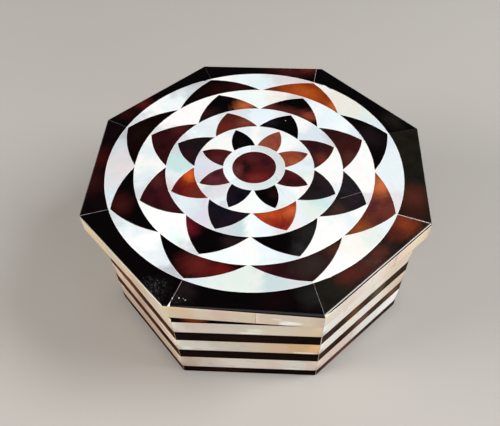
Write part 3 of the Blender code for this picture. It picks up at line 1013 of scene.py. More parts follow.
PETALS = {  # ring, petal: base tone and glows (direction in degrees, radius, reach along and across, tone)
    (1, 1): ((0.225, 0.046, 0.023), [(12, 15.5, 3, 3, (0.300, 0.080, 0.034)), (22, 21.5, 3, 2.2, (0.110, 0.021, 0.015))]),
    (1, 2): ((0.250, 0.055, 0.032), [(78, 15.5, 2.5, 3, (0.210, 0.065, 0.036)), (62, 20, 2.5, 3, (0.165, 0.040, 0.032))]),
    (1, 3): (BLACK, [(112, 15, 1.5, 2.5, (0.0040, 0.0024, 0.0034))]),
    (1, 4): ((0.053, 0.0070, 0.0070), [(166, 15, 2.5, 3, (0.064, 0.0120, 0.0150)), (158, 22, 3, 2.2, (0.022, 0.0050, 0.0055))]),
    (1, 5): ((0.090, 0.0190, 0.0250), [(195, 14.5, 2.5, 3, (0.036, 0.0065, 0.0110)), (203, 22, 3, 2.2, (0.055, 0.0085, 0.0110))]),
    (1, 6): ((0.0075, 0.0050, 0.0090), [(255, 16, 3, 3, (0.0030, 0.0020, 0.0045))]),
    (1, 7): (BLACK, [(303, 16, 2.5, 3, (0.0100, 0.0030, 0.0035))]),
    (1, 8): ((0.044, 0.0070, 0.0088), [(347, 16, 2.5, 3, (0.060, 0.0090, 0.0120))]),
    (2, 1): ((0.032, 0.0080, 0.0085), [(10, 27, 4, 3, (0.118, 0.0210, 0.0140)), (31, 27, 4, 3, (0.018, 0.0040, 0.0055))]),
    (2, 2): (BLACK, [(78, 27, 4, 3, (0.0095, 0.0062, 0.0105))]),
    (2, 3): ((0.094, 0.0150, 0.0100), [(101, 26.5, 4, 3, (0.170, 0.0400, 0.0270)), (124, 26, 4, 2.5, (0.110, 0.0130, 0.0070)), (111, 32, 4, 2.5, (0.060, 0.0100, 0.0080))]),
    (2, 4): ((0.0095, 0.0055, 0.0075), [(168, 27, 4, 3, (0.019, 0.0045, 0.0062))]),
    (2, 5): ((0.170, 0.0130, 0.0085), [(190, 25.8, 5.2, 3.4, (0.540, 0.0960, 0.0165)), (205, 31.5, 5, 3, (0.060, 0.0052, 0.0055)), (214, 26, 3, 3, (0.110, 0.0180, 0.0120))]),
    (2, 6): ((0.0080, 0.0050, 0.0100), [(258, 26, 4, 3, (0.0105, 0.0052, 0.0085)), (247, 25, 3, 2, (0.0028, 0.0042, 0.0095))]),
    (2, 7): ((0.300, 0.0320, 0.0110), [(304, 27, 4.5, 3.4, (0.450, 0.0920, 0.0270)), (286, 24.8, 5.5, 2.8, (0.390, 0.0580, 0.0150)), (293, 31.5, 4, 2.6, (0.150, 0.0090, 0.0095))]),
    (2, 8): ((0.0125, 0.0085, 0.0100), [(349, 27, 4, 3, (0.0165, 0.0090, 0.0110))]),
    (3, 1): ((0.034, 0.0066, 0.0064), [(9, 38.5, 5, 4, (0.060, 0.0155, 0.0125)), (33, 38, 6, 4, (0.016, 0.0040, 0.0052))]),
    (3, 2): (BLACK, [(68, 36, 13, 3.4, (0.062, 0.0120, 0.0100)), (54, 38, 4.5, 3.6, (0.200, 0.0400, 0.0220)), (83, 36.4, 4, 2.6, (0.090, 0.0200, 0.0150))]),
    (3, 3): (BLACK, [(98.5, 37.2, 6.0, 4.2, (0.400, 0.0960, 0.0280)), (125, 37.5, 6, 3.5, (0.020, 0.0050, 0.0056))]),
    (3, 4): ((0.023, 0.0034, 0.0044), [(147, 38.3, 5, 3.6, (0.056, 0.0080, 0.0088))]),
    (3, 5): ((0.026, 0.0040, 0.0060), [(206, 36.8, 9, 3, (0.040, 0.0056, 0.0072)), (192, 38, 5, 3.4, (0.064, 0.0110, 0.0110))]),
    (3, 6): (BLACK, [(232.5, 38.3, 6, 5, (0.105, 0.0056, 0.0120)), (261, 38, 5, 3.5, (0.015, 0.0075, 0.0095))]),
    (3, 7): (BLACK, [(305, 38.5, 8, 5, (0.0140, 0.0135, 0.0125)), (295, 43.5, 4, 4, (0.0165, 0.0160, 0.0160))]),
    (3, 8): ((0.0125, 0.0100, 0.0120), [(326, 38.3, 5, 4, (0.042, 0.0190, 0.0150)), (338, 41, 5, 3, (0.017, 0.0090, 0.0140))]),
    (4, 1): (BLACK, [(22, 50.5, 8, 5, (0.0085, 0.0052, 0.0066))]),
    (4, 2): ((0.250, 0.0380, 0.0060), [(66, 50.5, 8, 4, (0.350, 0.0640, 0.0100)), (85, 48.6, 5, 2.6, (0.075, 0.0170, 0.0090)), (48.6, 48.8, 3, 2.5, (0.430, 0.0950, 0.0180))]),
    (4, 3): ((0.0035, 0.0008, 0.0010), [(101, 50, 6, 4, (0.022, 0.0030, 0.0032)), (111, 50, 5, 4, (0.012, 0.0016, 0.0018)), (90, 48, 4, 3, BLACK)]),
    (4, 4): ((0.0040, 0.0010, 0.0010), [(160, 51, 7, 5, (0.0070, 0.0022, 0.0014))]),
    (4, 5): (BLACK, [(203, 53.5, 6, 5, (0.032, 0.0048, 0.0042))]),
    (4, 6): (BLACK, [(250.5, 51, 8.0, 6, (0.094, 0.0110, 0.0095)), (260, 50.3, 5.0, 4, (0.105, 0.0055, 0.0048)), (268.5, 48.6, 3, 3, BLACK)]),
    (4, 7): ((0.018, 0.0040, 0.0048), [(296, 51.5, 9, 6, (0.0245, 0.0155, 0.0150)), (308, 49.6, 4.5, 3.6, (0.054, 0.0200, 0.0140)), (276, 48.6, 4, 2.4, (0.046, 0.0062, 0.0120))]),
    (4, 8): ((0.105, 0.0240, 0.0170), [(351, 49.6, 7, 4.5, (0.480, 0.1250, 0.0400)), (323, 49.7, 6, 4, (0.190, 0.0470, 0.0125)), (338, 49, 3, 2, (0.065, 0.0150, 0.0160))]),
}
BORDERS = {
    0: ((0.0095, 0.0082, 0.0056), [(-13, 62.0, 8.0, 6.5, (0.062, 0.0150, 0.0090)), (-21, 64, 6, 5, (0.026, 0.0075, 0.0050))]),
    1: (BLACK, [(27, 64, 6, 5, (0.0085, 0.0075, 0.0050))]),
    2: (BLACK, [(78, 62, 10, 5, (0.040, 0.0056, 0.0056)), (71, 65.5, 4, 3, (0.090, 0.0105, 0.0058))]),
    3: (BLACK, [(144, 62, 4.5, 6, (0.058, 0.0062, 0.0052)), (152, 63, 4, 5, (0.018, 0.0018, 0.0016))]),
    4: ((0.0035, 0.0010, 0.0014), [(177, 62, 7, 5, (0.030, 0.0026, 0.0026)), (189, 62.5, 8, 5, (0.020, 0.0032, 0.0032))]),
    5: (BLACK, []),
    6: (BLACK, [(250, 62, 5, 5, (0.0110, 0.0062, 0.0070)), (279, 62, 8, 5, (0.0042, 0.0012, 0.0016)), (291, 62.5, 6, 6, (0.0115, 0.0108, 0.0100))]),
    7: ((0.0105, 0.0092, 0.0068), [(311, 61.5, 13, 5.5, (0.052, 0.0155, 0.0110)), (304.5, 60.8, 5, 3.6, (0.066, 0.0130, 0.0100)), (319, 60.8, 4, 3.2, (0.064, 0.0200, 0.0140)),
        (334.5, 62.0, 6.5, 6.5, (0.165, 0.0290, 0.0110)), (328, 61, 5, 4, (0.062, 0.0120, 0.0080)), (297, 63, 4, 5, (0.0105, 0.0095, 0.0070))]),
}
FRESH = (0.89, 0.97, 0.96)
CLEAR = (0.88, 0.96, 0.98)
AZURE = (0.81, 0.91, 0.97)
PURE = (1.0, 1.0, 1.0)
DUSK = (0.66, 0.66, 0.77)
SHADE = (0.68, 0.75, 0.85)
BLOOM = (0.76, 0.70, 0.73)
SAGE = (0.74, 0.84, 0.80)
# The greyer blue tones (MIST, STEEL, DUSK, SHADE), mostly at tile ends, are painted shade: the nacre's lustre dimming
# with the lie of its layers, laid over the shell's own pale tints.
PEARLS = {  # ring: tones of the tiles at facets 0, 45 ... 315, each from its clockwise to its other end
    1: ((WHITE, MINT, ICE, SKY, SNOW), (SKY, ICE, WHITE, CLEAR, SNOW), (ICE, ICE, WHITE, ICE, ICE), (ICE, WHITE, WHITE, SNOW),
        (DUSK, PEARL, SHADE, LILAC, MIST), (MINT, MIST, PEARL, ICE, MIST), (FRESH, WHITE, FRESH, CLEAR, ICE), (MINT, ICE, ICE, WHITE, PINK)),
    2: ((ICE, WHITE, WHITE, WHITE, SNOW), (MIST, SKY, SKY, WHITE, SNOW), (PEARL, AZURE, AZURE, SKY, PEARL), (PEARL, AZURE, ICE, AZURE, PEARL),
        (MIST, AQUA, AQUA, ICE, WARM), (MIST, ICE, SKY, LILAC, PEARL), (MIST, SEA, FRESH, AZURE, PEARL), (PINK, ICE, MINT, AQUA, SKY)),
    3: ((PEARL, WHITE, WHITE, WHITE, WHITE), (SKY, CLEAR, AZURE, CLEAR, PEARL), (WARM, SNOW, FRESH, CLEAR, PURE), (WHITE, PURE, PURE, PURE, PEARL),
        (WHITE, ICE, WHITE, ICE, MIST), (WHITE, PURE, PURE, CLEAR, MIST), (FRESH, CLEAR, WHITE, AZURE, SKY), (WHITE, WHITE, WHITE, ICE, WHITE)),
    4: ((PEARL, ICE, ICE, ICE, SKY), (SKY, MINT, CREAMY, CREAMY, SNOW), (WARM, PEARL, AZURE, CLEAR, PURE), (STEEL, MIST, CLEAR, PURE, MIST),
        (STEEL, MIST, BLOOM, PEARL, SKY), (MIST, ICE, PURE, ICE, STEEL), (SKY, SAGE, MINT, SEA, MIST), (WHITE, WHITE, SNOW, MINT, ICE)),
}

# ---------------------------------------------------------------- lid mosaic

# The CAD wood stays, with a finish of its own.
for node in ("box_carcass", "lid_board"):
    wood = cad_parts[node]
    finish = timber(node + "_wood", (0.19, 0.088, 0.040), (0.075, 0.030, 0.014), 11 if node == "box_carcass" else 12)
    wood.data.materials.clear()
    wood.data.materials.append(finish)

disc = Builder("centre_disc")
circle = [Arc(MOSAIC_AT, DISC_R, 0.0, math.pi, JOINT, SOFT), Arc(MOSAIC_AT, DISC_R, math.pi, 2 * math.pi, JOINT, SOFT)]
tile(disc, circle, dark_shell("disc_shell", (0.058, 0.0072, 0.0072), [glow(200, 7.2, 4.0, 2.6, (0.100, 0.0240, 0.0250)), glow(188, 3.3, 6.5, 2.0, (0.014, 0.0030, 0.0036)), glow(38, 5.4, 6.0, 3.2, (0.028, 0.0045, 0.0080)),
    glow(283, 5.6, 5.5, 3.2, (0.130, 0.0135, 0.0125)), glow(100, 5.0, 3.5, 2.5, (0.064, 0.0110, 0.0115))], 900, 0.3), level=0.006)
disc.done(["lid_centre_disc"])

ring_piece = Builder("centre_ring")
ring_paint = [nacre(f"ring_nacre_{k}", tints, 910 + k, 0.5 + 1.3 * k, 9.0, at(a, 10.4)[0]) for k, (a, tints) in
              enumerate(((40, (ICE, (0.65, 0.71, 0.73), ICE)), (160, (CLEAR, ICE, CLEAR)), (280, ((0.65, 0.75, 0.76), (0.68, 0.77, 0.77), ICE))))]
for k in range(3):
    a0, a1 = math.radians(-20 + 120 * k), math.radians(100 + 120 * k)
    outer = Arc(MOSAIC_AT, CIRCLES[0], a0, a1, JOINT, SOFT)
    inner = Arc(MOSAIC_AT, DISC_R, a1, a0, JOINT, SOFT)
    tile(ring_piece, [outer, Line(outer.end, inner.start, 0.03, 0.04), inner, Line(inner.end, outer.start, 0.03, 0.04)], ring_paint[k], level=0.002)
ring_piece.done(["lid_centre_ring"])

rng = random.Random(41)
for ring in range(1, 5):
    for petal in range(1, 9):
        base, glows = PETALS[(ring, petal)]
        direction = 22.5 + 45 * (petal - 1)
        extra = {}
        if (ring, petal) == (3, 8):
            extra["scratch"] = (at(340.3, 39.8)[0], math.radians(24.0), 4.9, 0.17)
        if (ring, petal) == (2, 2):
            extra["speck"] = [(at(66.5, 30.0)[0], 0.30, 1.0)]
        if (ring, petal) == (2, 7):
            extra["cracks"] = [(at(295.5, 29.0)[0], math.radians(300), 3.6, 0.30, (0.16, 0.014, 0.008))]
        if (ring, petal) == (4, 5):
            extra["speck"] = [(at(192.0, 52.0)[0], 0.20, 0.6)]
        paint = dark_shell(f"shell_{RING_NAMES[ring]}_{petal}", base, [glow(*g) for g in glows], 100 * ring + petal,
                           math.radians(direction + rng.uniform(-40, 40)), **extra)
        piece = Builder(f"petal_{RING_NAMES[ring]}_{petal}")
        tile(piece, petal_edges(ring, petal - 1), paint, level=rng.uniform(0.0, 0.012))
        piece.name = f"shell_petal_{RING_NAMES[ring]}_{petal}"
        piece.done([f"petal_{RING_NAMES[ring]}_{petal}"])

for facet in range(8):
    piece = Builder(f"pearl_tiles_{SIDE_NAMES[facet]}")
    for ring in range(1, 5):
        middle = (TIPS[ring] + CIRCLES[ring - 1]) / 2
        tints = PEARLS[ring][facet]
        here, along = at(45 * facet, middle + 3)
        paint = nacre(f"nacre_{RING_NAMES[ring]}_{SIDE_NAMES[facet]}", tints, 500 + 10 * facet + ring,
                      math.radians(rng.uniform(0, 180)), CIRCLES[ring] * 0.31, here, toward=along)
        tile(piece, pearl_edges(ring, facet), paint, level=rng.uniform(0.0, 0.010))
    piece.done([f"pearl_spoke_{SIDE_NAMES[facet]}"])

for facet in range(8):
    base, glows = BORDERS[facet]
    extra = {}
    if facet == 5:
        extra["dust"] = ((-32.5 + SHIFT.x, -57.0 + SHIFT.y, TOP), (8.5, 6.5, 4.0))
    if facet == 6:
        extra["dust"] = ((-24.5 + SHIFT.x, -61.0 + SHIFT.y, TOP), (3.0, 2.5, 4.0))
        extra["speck"] = [((-23.1 + SHIFT.x, -60.4 + SHIFT.y, TOP), 0.34, 1.0), ((-21.6 + SHIFT.x, -60.6 + SHIFT.y, TOP), 0.22, 0.5),
                          ((-20.85 + SHIFT.x, -61.1 + SHIFT.y, TOP), 0.30, 0.75), ((-25.6 + SHIFT.x, -60.3 + SHIFT.y, TOP), 0.26, 0.6)]
    if facet == 7:
        extra["dust"] = ((43.5 + SHIFT.x, -42.5 + SHIFT.y, TOP), (6.0, 3.0, 4.0))
    paint = dark_shell(f"shell_border_{SIDE_NAMES[facet]}", base, [glow(*g) for g in glows], 700 + facet,
                       math.radians(45 * facet + 90 + rng.uniform(-15, 15)), ragged=1.15, **extra)
    piece = Builder(f"shell_border_{SIDE_NAMES[facet]}")
    tile(piece, border_edges(facet), paint, low=TOP - EDGE_T, level=rng.uniform(0.0, 0.008), spacing=2.0)
    piece.done([f"border_{SIDE_NAMES[facet]}"])

# joint lines of the lid
FILL_PALE = filler("filler_pale", (0.90, 0.89, 0.87), 31, (0.74, 0.72, 0.70))
FILL_DARK = filler("filler_dark", (0.030, 0.018, 0.014), 32)
FILL_TONES = {
    "white": filler("filler_white", (0.80, 0.76, 0.72), 33, (0.52, 0.47, 0.44)),
    "light": filler("filler_light", (0.42, 0.38, 0.36), 34, (0.16, 0.12, 0.11)),
    "grey": filler("filler_grey", (0.30, 0.29, 0.28), 35, (0.13, 0.12, 0.12)),
    "faint": filler("filler_faint", (0.045, 0.040, 0.034), 36, (0.016, 0.013, 0.010)),
    "cream": filler("filler_cream", (0.72, 0.58, 0.44), 39, (0.50, 0.38, 0.28)),
}
circles = Builder("joint_circles")
for radius in (DISC_R, *CIRCLES):
    count = max(48, round(2 * math.pi * radius / 0.55))
    ribbon(circles, [polar(radius, 2 * math.pi * k / count) for k in range(count)], JOINT, FILL_PALE, TILE_LOW + 0.05 if radius < 58 else TOP - EDGE_T + 0.05, closed=True)
circles.done([])

sides_of_petals = Builder("joint_petal_sides")
for ring in range(1, 5):
    for spoke in range(8):
        for edge in petal_edges(ring, spoke)[:2]:
            path = edge.along(edge.moved(0.0), edge.start, edge.end) + [edge.end]
            ribbon(sides_of_petals, path, JOINT, FILL_PALE, TILE_LOW + 0.05)
        if CIRCLES[ring] - TIPS[ring] > 0.2:
            ribbon(sides_of_petals, [polar(TIPS[ring], tip_angle(spoke)), polar(CIRCLES[ring], tip_angle(spoke))], JOINT * 0.6, FILL_PALE, TILE_LOW + 0.05)
sides_of_petals.done([])

mitres = Builder("joint_mitres")
for spoke in range(8):
    half, tone, slip = MITRES[spoke]
    start, end = polar(CIRCLES[4], tip_angle(spoke)), mitre_end(spoke)
    inward = (start - end).normalized()
    length = (start - end).length
    steps = [0.10, 0.2, 0.35, 0.55, 0.8, 1.1, 1.5] + [1.5 + (length - 1.5) * k / 8 for k in range(1, 9)]
    path = [end + inward * d for d in reversed(steps)]
    side = spoke + 1 if slip else spoke
    drops = []
    for p in path:
        radius, _ = edge_round(side, slip / 50 if slip else 1.0)
        drops.append(fall(radius, edge_distance(p)))
    widths = [half * (0.85 + 0.25 * noise.noise(Vector((k * 0.6, spoke * 3.1, 2.2)))) for k in range(len(path))]
    ribbon(mitres, path, widths, FILL_TONES[tone], TOP - EDGE_T + 0.02, sink=0.010, drops=drops)
mitres.done([])

# the pale chip of filler where the front left joint runs out over the rounded edge
chip = Builder("filler_chip_front_left")
slot = chip.slot(filler("filler_chip", (0.95, 0.90, 0.87), 38, (0.84, 0.78, 0.74)))
tip = mitre_end(5)
inward = (polar(CIRCLES[4], tip_angle(5)) - tip).normalized()
across = left_of(inward)
chip_radius = edge_round(6, 0.04)[0]
chip_rows = []
for k in range(15):
    d = 0.16 + 1.9 * (k / 14) ** 1.3
    wide = math.exp(-(d / 0.95) ** 1.6) * (1.0 if k < 14 else 0.0)
    right_half, left_half = 0.05 + 0.08 * (14 - k) / 14 + 0.66 * wide, 0.05 + 0.08 * (14 - k) / 14 + 0.20 * wide
    row = []
    for j in range(5):
        reach = left_half * (j - 2) / 2 if j < 2 else right_half * (j - 2) / 2
        p = hand_cut(tip + inward * d - across * reach * (1 + 0.15 * noise.noise(Vector((d * 2.3, j * 1.0, 4.4)))))
        p += inward * max(0.0, (0.20 - edge_distance(p)) / 0.92)
        z = TOP - 0.001 - fall(chip_radius, edge_distance(p)) - (0.02 if j in (0, 4) else 0.0)
        row.append((p, chip.add(p.x, p.y, z)))
    chip_rows.append(row[::-1])
spot_at = tip + inward * 3.5
spot_rim = [spot_at + inward * (0.30 * math.cos(q)) + across * (0.17 * math.sin(q)) for q in (math.tau * k / 9 for k in range(9))]
spot_low = [chip.add(p.x, p.y, TOP - EDGE_T + 0.05) for p in spot_rim]
spot_mid = [chip.add(p.x, p.y, TOP - 0.02) for p in spot_rim]
spot_top = [chip.add(*(spot_at + (p - spot_at) * 0.7), TOP - 0.001) for p in spot_rim]
if (spot_rim[1] - spot_rim[0]).x * (spot_rim[2] - spot_rim[1]).y < (spot_rim[1] - spot_rim[0]).y * (spot_rim[2] - spot_rim[1]).x:
    spot_low, spot_mid, spot_top = spot_low[::-1], spot_mid[::-1], spot_top[::-1]
chip.band(spot_low, spot_mid, slot)
chip.band(spot_mid, spot_top, slot)
chip.face(spot_low[::-1], slot)
chip.face(spot_top, slot)
base_rows = [[(row[j][0], chip.add(row[j][0].x, row[j][0].y, TOP - EDGE_T + 0.05)) for j in (0, 4)] for row in chip_rows]
for k in range(14):
    for j in range(4):
        chip.face((chip_rows[k][j][1], chip_rows[k][j + 1][1], chip_rows[k + 1][j + 1][1], chip_rows[k + 1][j][1])[::-1], slot)
    chip.face((base_rows[k][0][1], chip_rows[k][0][1], chip_rows[k + 1][0][1], base_rows[k + 1][0][1])[::-1], slot)
    chip.face((chip_rows[k][4][1], base_rows[k][1][1], base_rows[k + 1][1][1], chip_rows[k + 1][4][1])[::-1], slot)
    chip.face((base_rows[k][1][1], base_rows[k][0][1], base_rows[k + 1][0][1], base_rows[k + 1][1][1])[::-1], slot)
chip.face([v for _, v in chip_rows[0]] + [base_rows[0][1][1], base_rows[0][0][1]], slot)
chip.face(([v for _, v in chip_rows[14]] + [base_rows[14][1][1], base_rows[14][0][1]])[::-1], slot)
chip.done([])

# ---------------------------------------------------------------- wall strips

SIDE_TINTS = (CREAM, PALE_CREAM, ROSE_CREAM, GREEN_CREAM, PALE_GOLD, LILAC_CREAM, BRIGHT_CREAM, GOLD, TAN)
SHOWN_STRIPS = {  # band, wall: pieces (share of the wall where each ends, tints from its start to its end)
    ("lid", 6): ((0.577, (MOSS_CREAM, DEEP_CREAM, SAND, ROSE_TAN, OAT, CREAM)), (1.0, (ROSE_CREAM, OAT, SILVER_CREAM, SAND, ROSE_TAN))),
    # On the left wall (5), here and in the rows below, the tints are the shell's own tones warmed with painted
    # reflected light from a warm floor.
    ("lid", 5): ((1.0, (CREAM, HONEY, HONEY, FAWN, DEEP_CREAM, DARK_TAN, FAWN, OAT)),),
    ("lid", 7): ((0.66, (PALE_CREAM, SILVER_ROSE, BRIGHT_CREAM, BRIGHT_ROSE)), (1.0, (BRIGHT_ROSE, BRIGHT_HONEY, BRIGHT_HONEY, HONEY))),
    ("pearl_band_upper", 6): ((1.0, (FROST, PALE_ROSE, PALE_SILVER, PALE_SILVER, PALE_SAND, PALE_SAND, CREAM, PALE_GOLD)),),
    ("pearl_band_upper", 5): ((1.0, (FAWN, OAT, HONEY, BRIGHT_ROSE, BRIGHT_ROSE, SAND, FAWN)),),
    ("pearl_band_upper", 7): ((0.55, (PEARL_WHITE, BRIGHT_CREAM, BRIGHT_CREAM)), (1.0, (BRIGHT_CREAM, CREAM, CREAM))),
    ("pearl_band_middle", 6): ((1.0, (PALE_SAGE, PALE_SAGE, SILVER_CREAM, DUSKY_SILVER, TAN, BRASS, OCHRE, BRIGHT_GOLD)),),
    ("pearl_band_middle", 5): ((1.0, (BRASS, ROSY_GOLD, WARM_ROSE, DARK_ROSE, WARM_ROSE, BRIGHT_ROSE, BLUSH)),),
    ("pearl_band_middle", 7): ((1.0, (IVORY, PEARL_WHITE, IVORY, PEARL_WHITE, IVORY, CREAM, ROSE)),),
    ("pearl_band_lower", 6): ((1.0, (BROWN_CREAM, DUSKY_SILVER, FROST, FROST, SILVER_ROSE, PALE_SAGE, ROSE_CREAM)),),
    ("pearl_band_lower", 5): ((1.0, (AMBER_TAN, DULL_TAN, AMBER_TAN, AMBER_TAN, DULL_TAN, FAWN)),),
    # painted highlight: the far piece of the front-right wall's (7) lower strip is painted near white where light
    # catches it
    ("pearl_band_lower", 7): ((0.42, (ROSE_CREAM, ROSE_CREAM, LILAC_CREAM)), (1.0, (BRIGHT_CREAM, PAINTED_HIGHLIGHT_WHITE, PAINTED_HIGHLIGHT_WHITE, PAINTED_HIGHLIGHT_WHITE))),
}
FLASH_WAY = {6: Vector((-0.90, -0.10, 0.40)), 7: Vector((0.75, 0.0, 0.66))}  # which way those sheets lean
# painted highlights: each flash's tone is mixed into the strip's colour, and its lean tilts the shading normal
PAINTED_FLASHES = {  # band, wall, piece: (share of the wall, height, reach along, reach up, tone, lean)
    ("lid", 6, 1): ((0.795, 51.7, 4.4, 1.3, (1.0, 0.98, 0.95), 0.60), (0.775, 50.8, 3.6, 0.8, (1.0, 0.97, 0.93), 0.40), (0.71, 53.6, 2.6, 0.7, (0.92, 0.84, 0.75), 0.06)),
    ("pearl_band_upper", 6, 0): ((0.55, 36.7, 4.2, 1.5, (0.93, 0.94, 0.85), 0.12), (0.515, 34.5, 5.6, 0.9, (0.97, 0.95, 0.88), 0.30)),
    ("pearl_band_middle", 6, 0): ((0.055, 20.9, 3.2, 1.9, (0.88, 0.94, 0.88), 0.12), (0.90, 19.9, 5.5, 0.9, (1.0, 0.88, 0.70), 0.22)),
    ("pearl_band_lower", 6, 0): ((0.83, 5.4, 5.0, 0.6, (0.96, 0.94, 0.90), 0.20),),
    ("pearl_band_lower", 7, 1): ((0.88, 9.0, 9.0, 5.0, (1.0, 1.0, 0.98), 0.35),),
    ("pearl_band_upper", 7, 1): ((0.62, 36.0, 4.0, 1.4, (0.95, 0.92, 0.86), 0.10),),
}
# The left wall's (5) dark strips get a brown base: their own dark shell warmed with painted reflected light from a
# warm floor.
DARK_BASES = {5: WALL_BROWN, 7: WALL_DUSK}
DARK_GLOWS = {  # band, wall: glows (share of the wall, reach along it, tone)
    ("dark_band_rim", 6): ((0.165, 5.5, (0.300, 0.0600, 0.0180)),),
    ("dark_band_upper", 6): ((0.50, 14.0, (0.014, 0.0060, 0.0045)),),
    ("dark_band_lower", 6): ((0.20, 8.0, (0.010, 0.0040, 0.0022)),),
    ("dark_band_base", 6): ((0.33, 12.0, (0.020, 0.0060, 0.0030)),),
    ("dark_band_upper", 7): ((0.36, 5.0, (0.120, 0.0500, 0.0220)), (0.64, 5.0, (0.100, 0.0750, 0.0520)), (0.95, 5.0, (0.025, 0.0170, 0.0100))),
    ("dark_band_lower", 7): ((0.22, 5.0, (0.025, 0.0080, 0.0050)), (0.50, 5.0, (0.120, 0.0640, 0.0420)), (0.88, 6.0, (0.120, 0.0600, 0.0300))),
    ("dark_band_base", 7): ((0.30, 12.0, (0.120, 0.0500, 0.0350)),),
    ("dark_band_upper", 5): ((0.30, 9.0, (0.110, 0.0400, 0.0150)),),
    ("dark_band_rim", 5): ((0.50, 8.0, (0.020, 0.0080, 0.0050)),),
}


def wall_place(sides, i, share, z):
    normal, along, dist, start, end = wall_frame(sides, i)
    p = normal * dist + along * (start + share * (end - start)) + SHIFT
    return (p.x, p.y, z), math.atan2(along.y, along.x)


def pearl_pieces(builder, band, sides, i, low, high):
    """The pearl strips of one wall, one to three pieces end to end."""
    pick = random.Random(f"{band}{i}")
    pieces = SHOWN_STRIPS.get((band, i))
    if pieces is None:
        cut = pick.choice(((1.0,), (pick.uniform(0.35, 0.65), 1.0), (1.0,)))
        pieces = [(share, tuple(pick.choice(SIDE_TINTS) for _ in range(pick.randint(3, 5)))) for share in cut]
    first = 0.0
    for k, (last, tints) in enumerate(pieces):
        middle, turn = wall_place(sides, i, (first + last) / 2, ((low if isinstance(low, float) else low[0]) + (high if isinstance(high, float) else high[0])) / 2)
        length = (last - first) * 52.0
        painted_flashes = [(wall_place(sides, i, share, z)[0], turn, (reach, 4.0, rise), tone, FLASH_WAY[i] * lean)
                  for share, z, reach, rise, tone, lean in PAINTED_FLASHES.get((band, i, k), ())]
        paint = nacre(f"strip_{band}_{SIDE_NAMES[i]}_{k + 1}", tints, pick.randint(1, 10 ** 6), turn, length / 2, middle, painted_flashes=painted_flashes, lustre=0.10, contrast=0.5, play=0.35)
        if band == "lid":
            edge_strip(builder, i, first, last, low, paint, seed=pick.randint(0, 99))
        else:
            strip(builder, sides, i, first, last, low, high, paint, seed=pick.randint(0, 99))
        first = last


def dark_piece(builder, band, sides, i, low, high):
    pick = random.Random(f"{band}{i}")
    middle_z = ((low if isinstance(low, float) else low[0]) + (high if isinstance(high, float) else high[0])) / 2
    glows = DARK_GLOWS.get((band, i))
    if glows is None:
        glows = tuple((pick.uniform(0.1, 0.9), pick.uniform(5, 11), pick.choice((WINE_BLACK, BROWN, OLIVE, WALL_DUSK))) for _ in range(pick.randint(1, 2)))
    made = []
    for share, reach, tone in glows:
        place_mm, turn = wall_place(sides, i, share, middle_z)
        made.append((place_mm, turn, (reach, 6.0, 5.0), tone))
    turn = wall_place(sides, i, 0.5, middle_z)[1]
    # the rim band, seen only as a thin wedge under the lid, takes the blackest base: painted shade of the gap under
    # the lid over its own dark shell
    paint = dark_shell(f"strip_{band}_{SIDE_NAMES[i]}", BLACK if band == "dark_band_rim" else DARK_BASES.get(i, pick.choice((WALL_BLACK, WALL_INK))), made, pick.randint(1, 10 ** 6), turn, coat=0.03)
    strip(builder, sides, i, 0.0, 1.0, low, high, paint, seed=pick.randint(0, 99))


SEAM = 0.04  # half of the glue line between bands
RIM_LINE = {5: 42.6}  # the wall where the top pearl strip is cut taller
for band, low_line, high_line in BANDS:
    piece = Builder("shell_" + band)
    for i in range(8):
        low = RIM_LINE.get(i, low_line) if band == "dark_band_rim" else low_line
        high = RIM_LINE.get(i, high_line) if band == "pearl_band_upper" else high_line
        if band.startswith("dark"):
            dark_piece(piece, band, BOX_SIDES, i, low + (SEAM if low > 1 else 0.0), high - SEAM)
        else:
            pearl_pieces(piece, band, BOX_SIDES, i, low + SEAM, high - SEAM)
    piece.done([band], 26)

edge_band = Builder("lid_edge_strips")
for i in range(8):
    pearl_pieces(edge_band, "lid", LID_SIDES, i, LID_LOW + 0.03, TOP - 0.8)
edge_band.done(["lid_pearl_edge"], 50)

glue = Builder("joint_glue_walls")
glue_paint = filler("glue_brown", (0.055, 0.026, 0.014), 37)
for (_, _, high), (_, low, _) in zip(BANDS, BANDS[1:]):
    joint_plate(glue, BOX_SIDES, high, SEAM, glue_paint)
glue.done([])

posts = Builder("joint_corner_posts")
POSTS = {  # corner: stretches of filler (bottom, top, tone, half width, how deep it sits)
    5: ((0.2, 49.5, "cream", 0.05, 0.17),),
    6: ((0.2, 13.0, "cream", 0.06, 0.14), (13.0, 19.3, "light", 0.09, 0.12), (19.3, 34.0, "white", 0.13, 0.10), (34.0, 49.5, "cream", 0.06, 0.14)),
}
for i in range(8):
    for low, high, tone, half, sink in POSTS.get(i, ((0.2, 49.5, "grey", 0.09, 0.17),)):
        corner_post(posts, BOX_SIDES, i, low, high, FILL_TONES[tone], half=half, sink=sink)
    corner_post(posts, LID_SIDES, i, LID_LOW + 0.05, TOP - EDGE_T - 0.1, FILL_TONES["light"], half=0.08, sink=0.13)
posts.done([])

# ---------------------------------------------------------------- stage

floor_paint = Nodes("floor_paint")
floor_spot = floor_paint.place
soft_cloud = floor_paint.noise(floor_spot, 2.2, 3.0, 0.5)
floor_paint.put(floor_paint.shader.inputs["Base Color"], floor_paint.mix(soft_cloud, (0.40, 0.385, 0.365), (0.43, 0.415, 0.395)))
floor_paint.put(floor_paint.shader.inputs["Roughness"], floor_paint.ranged(soft_cloud, 0.3, 0.7, 0.62, 0.72))
floor_paint.shader.inputs["Specular IOR Level"].default_value = 0.25

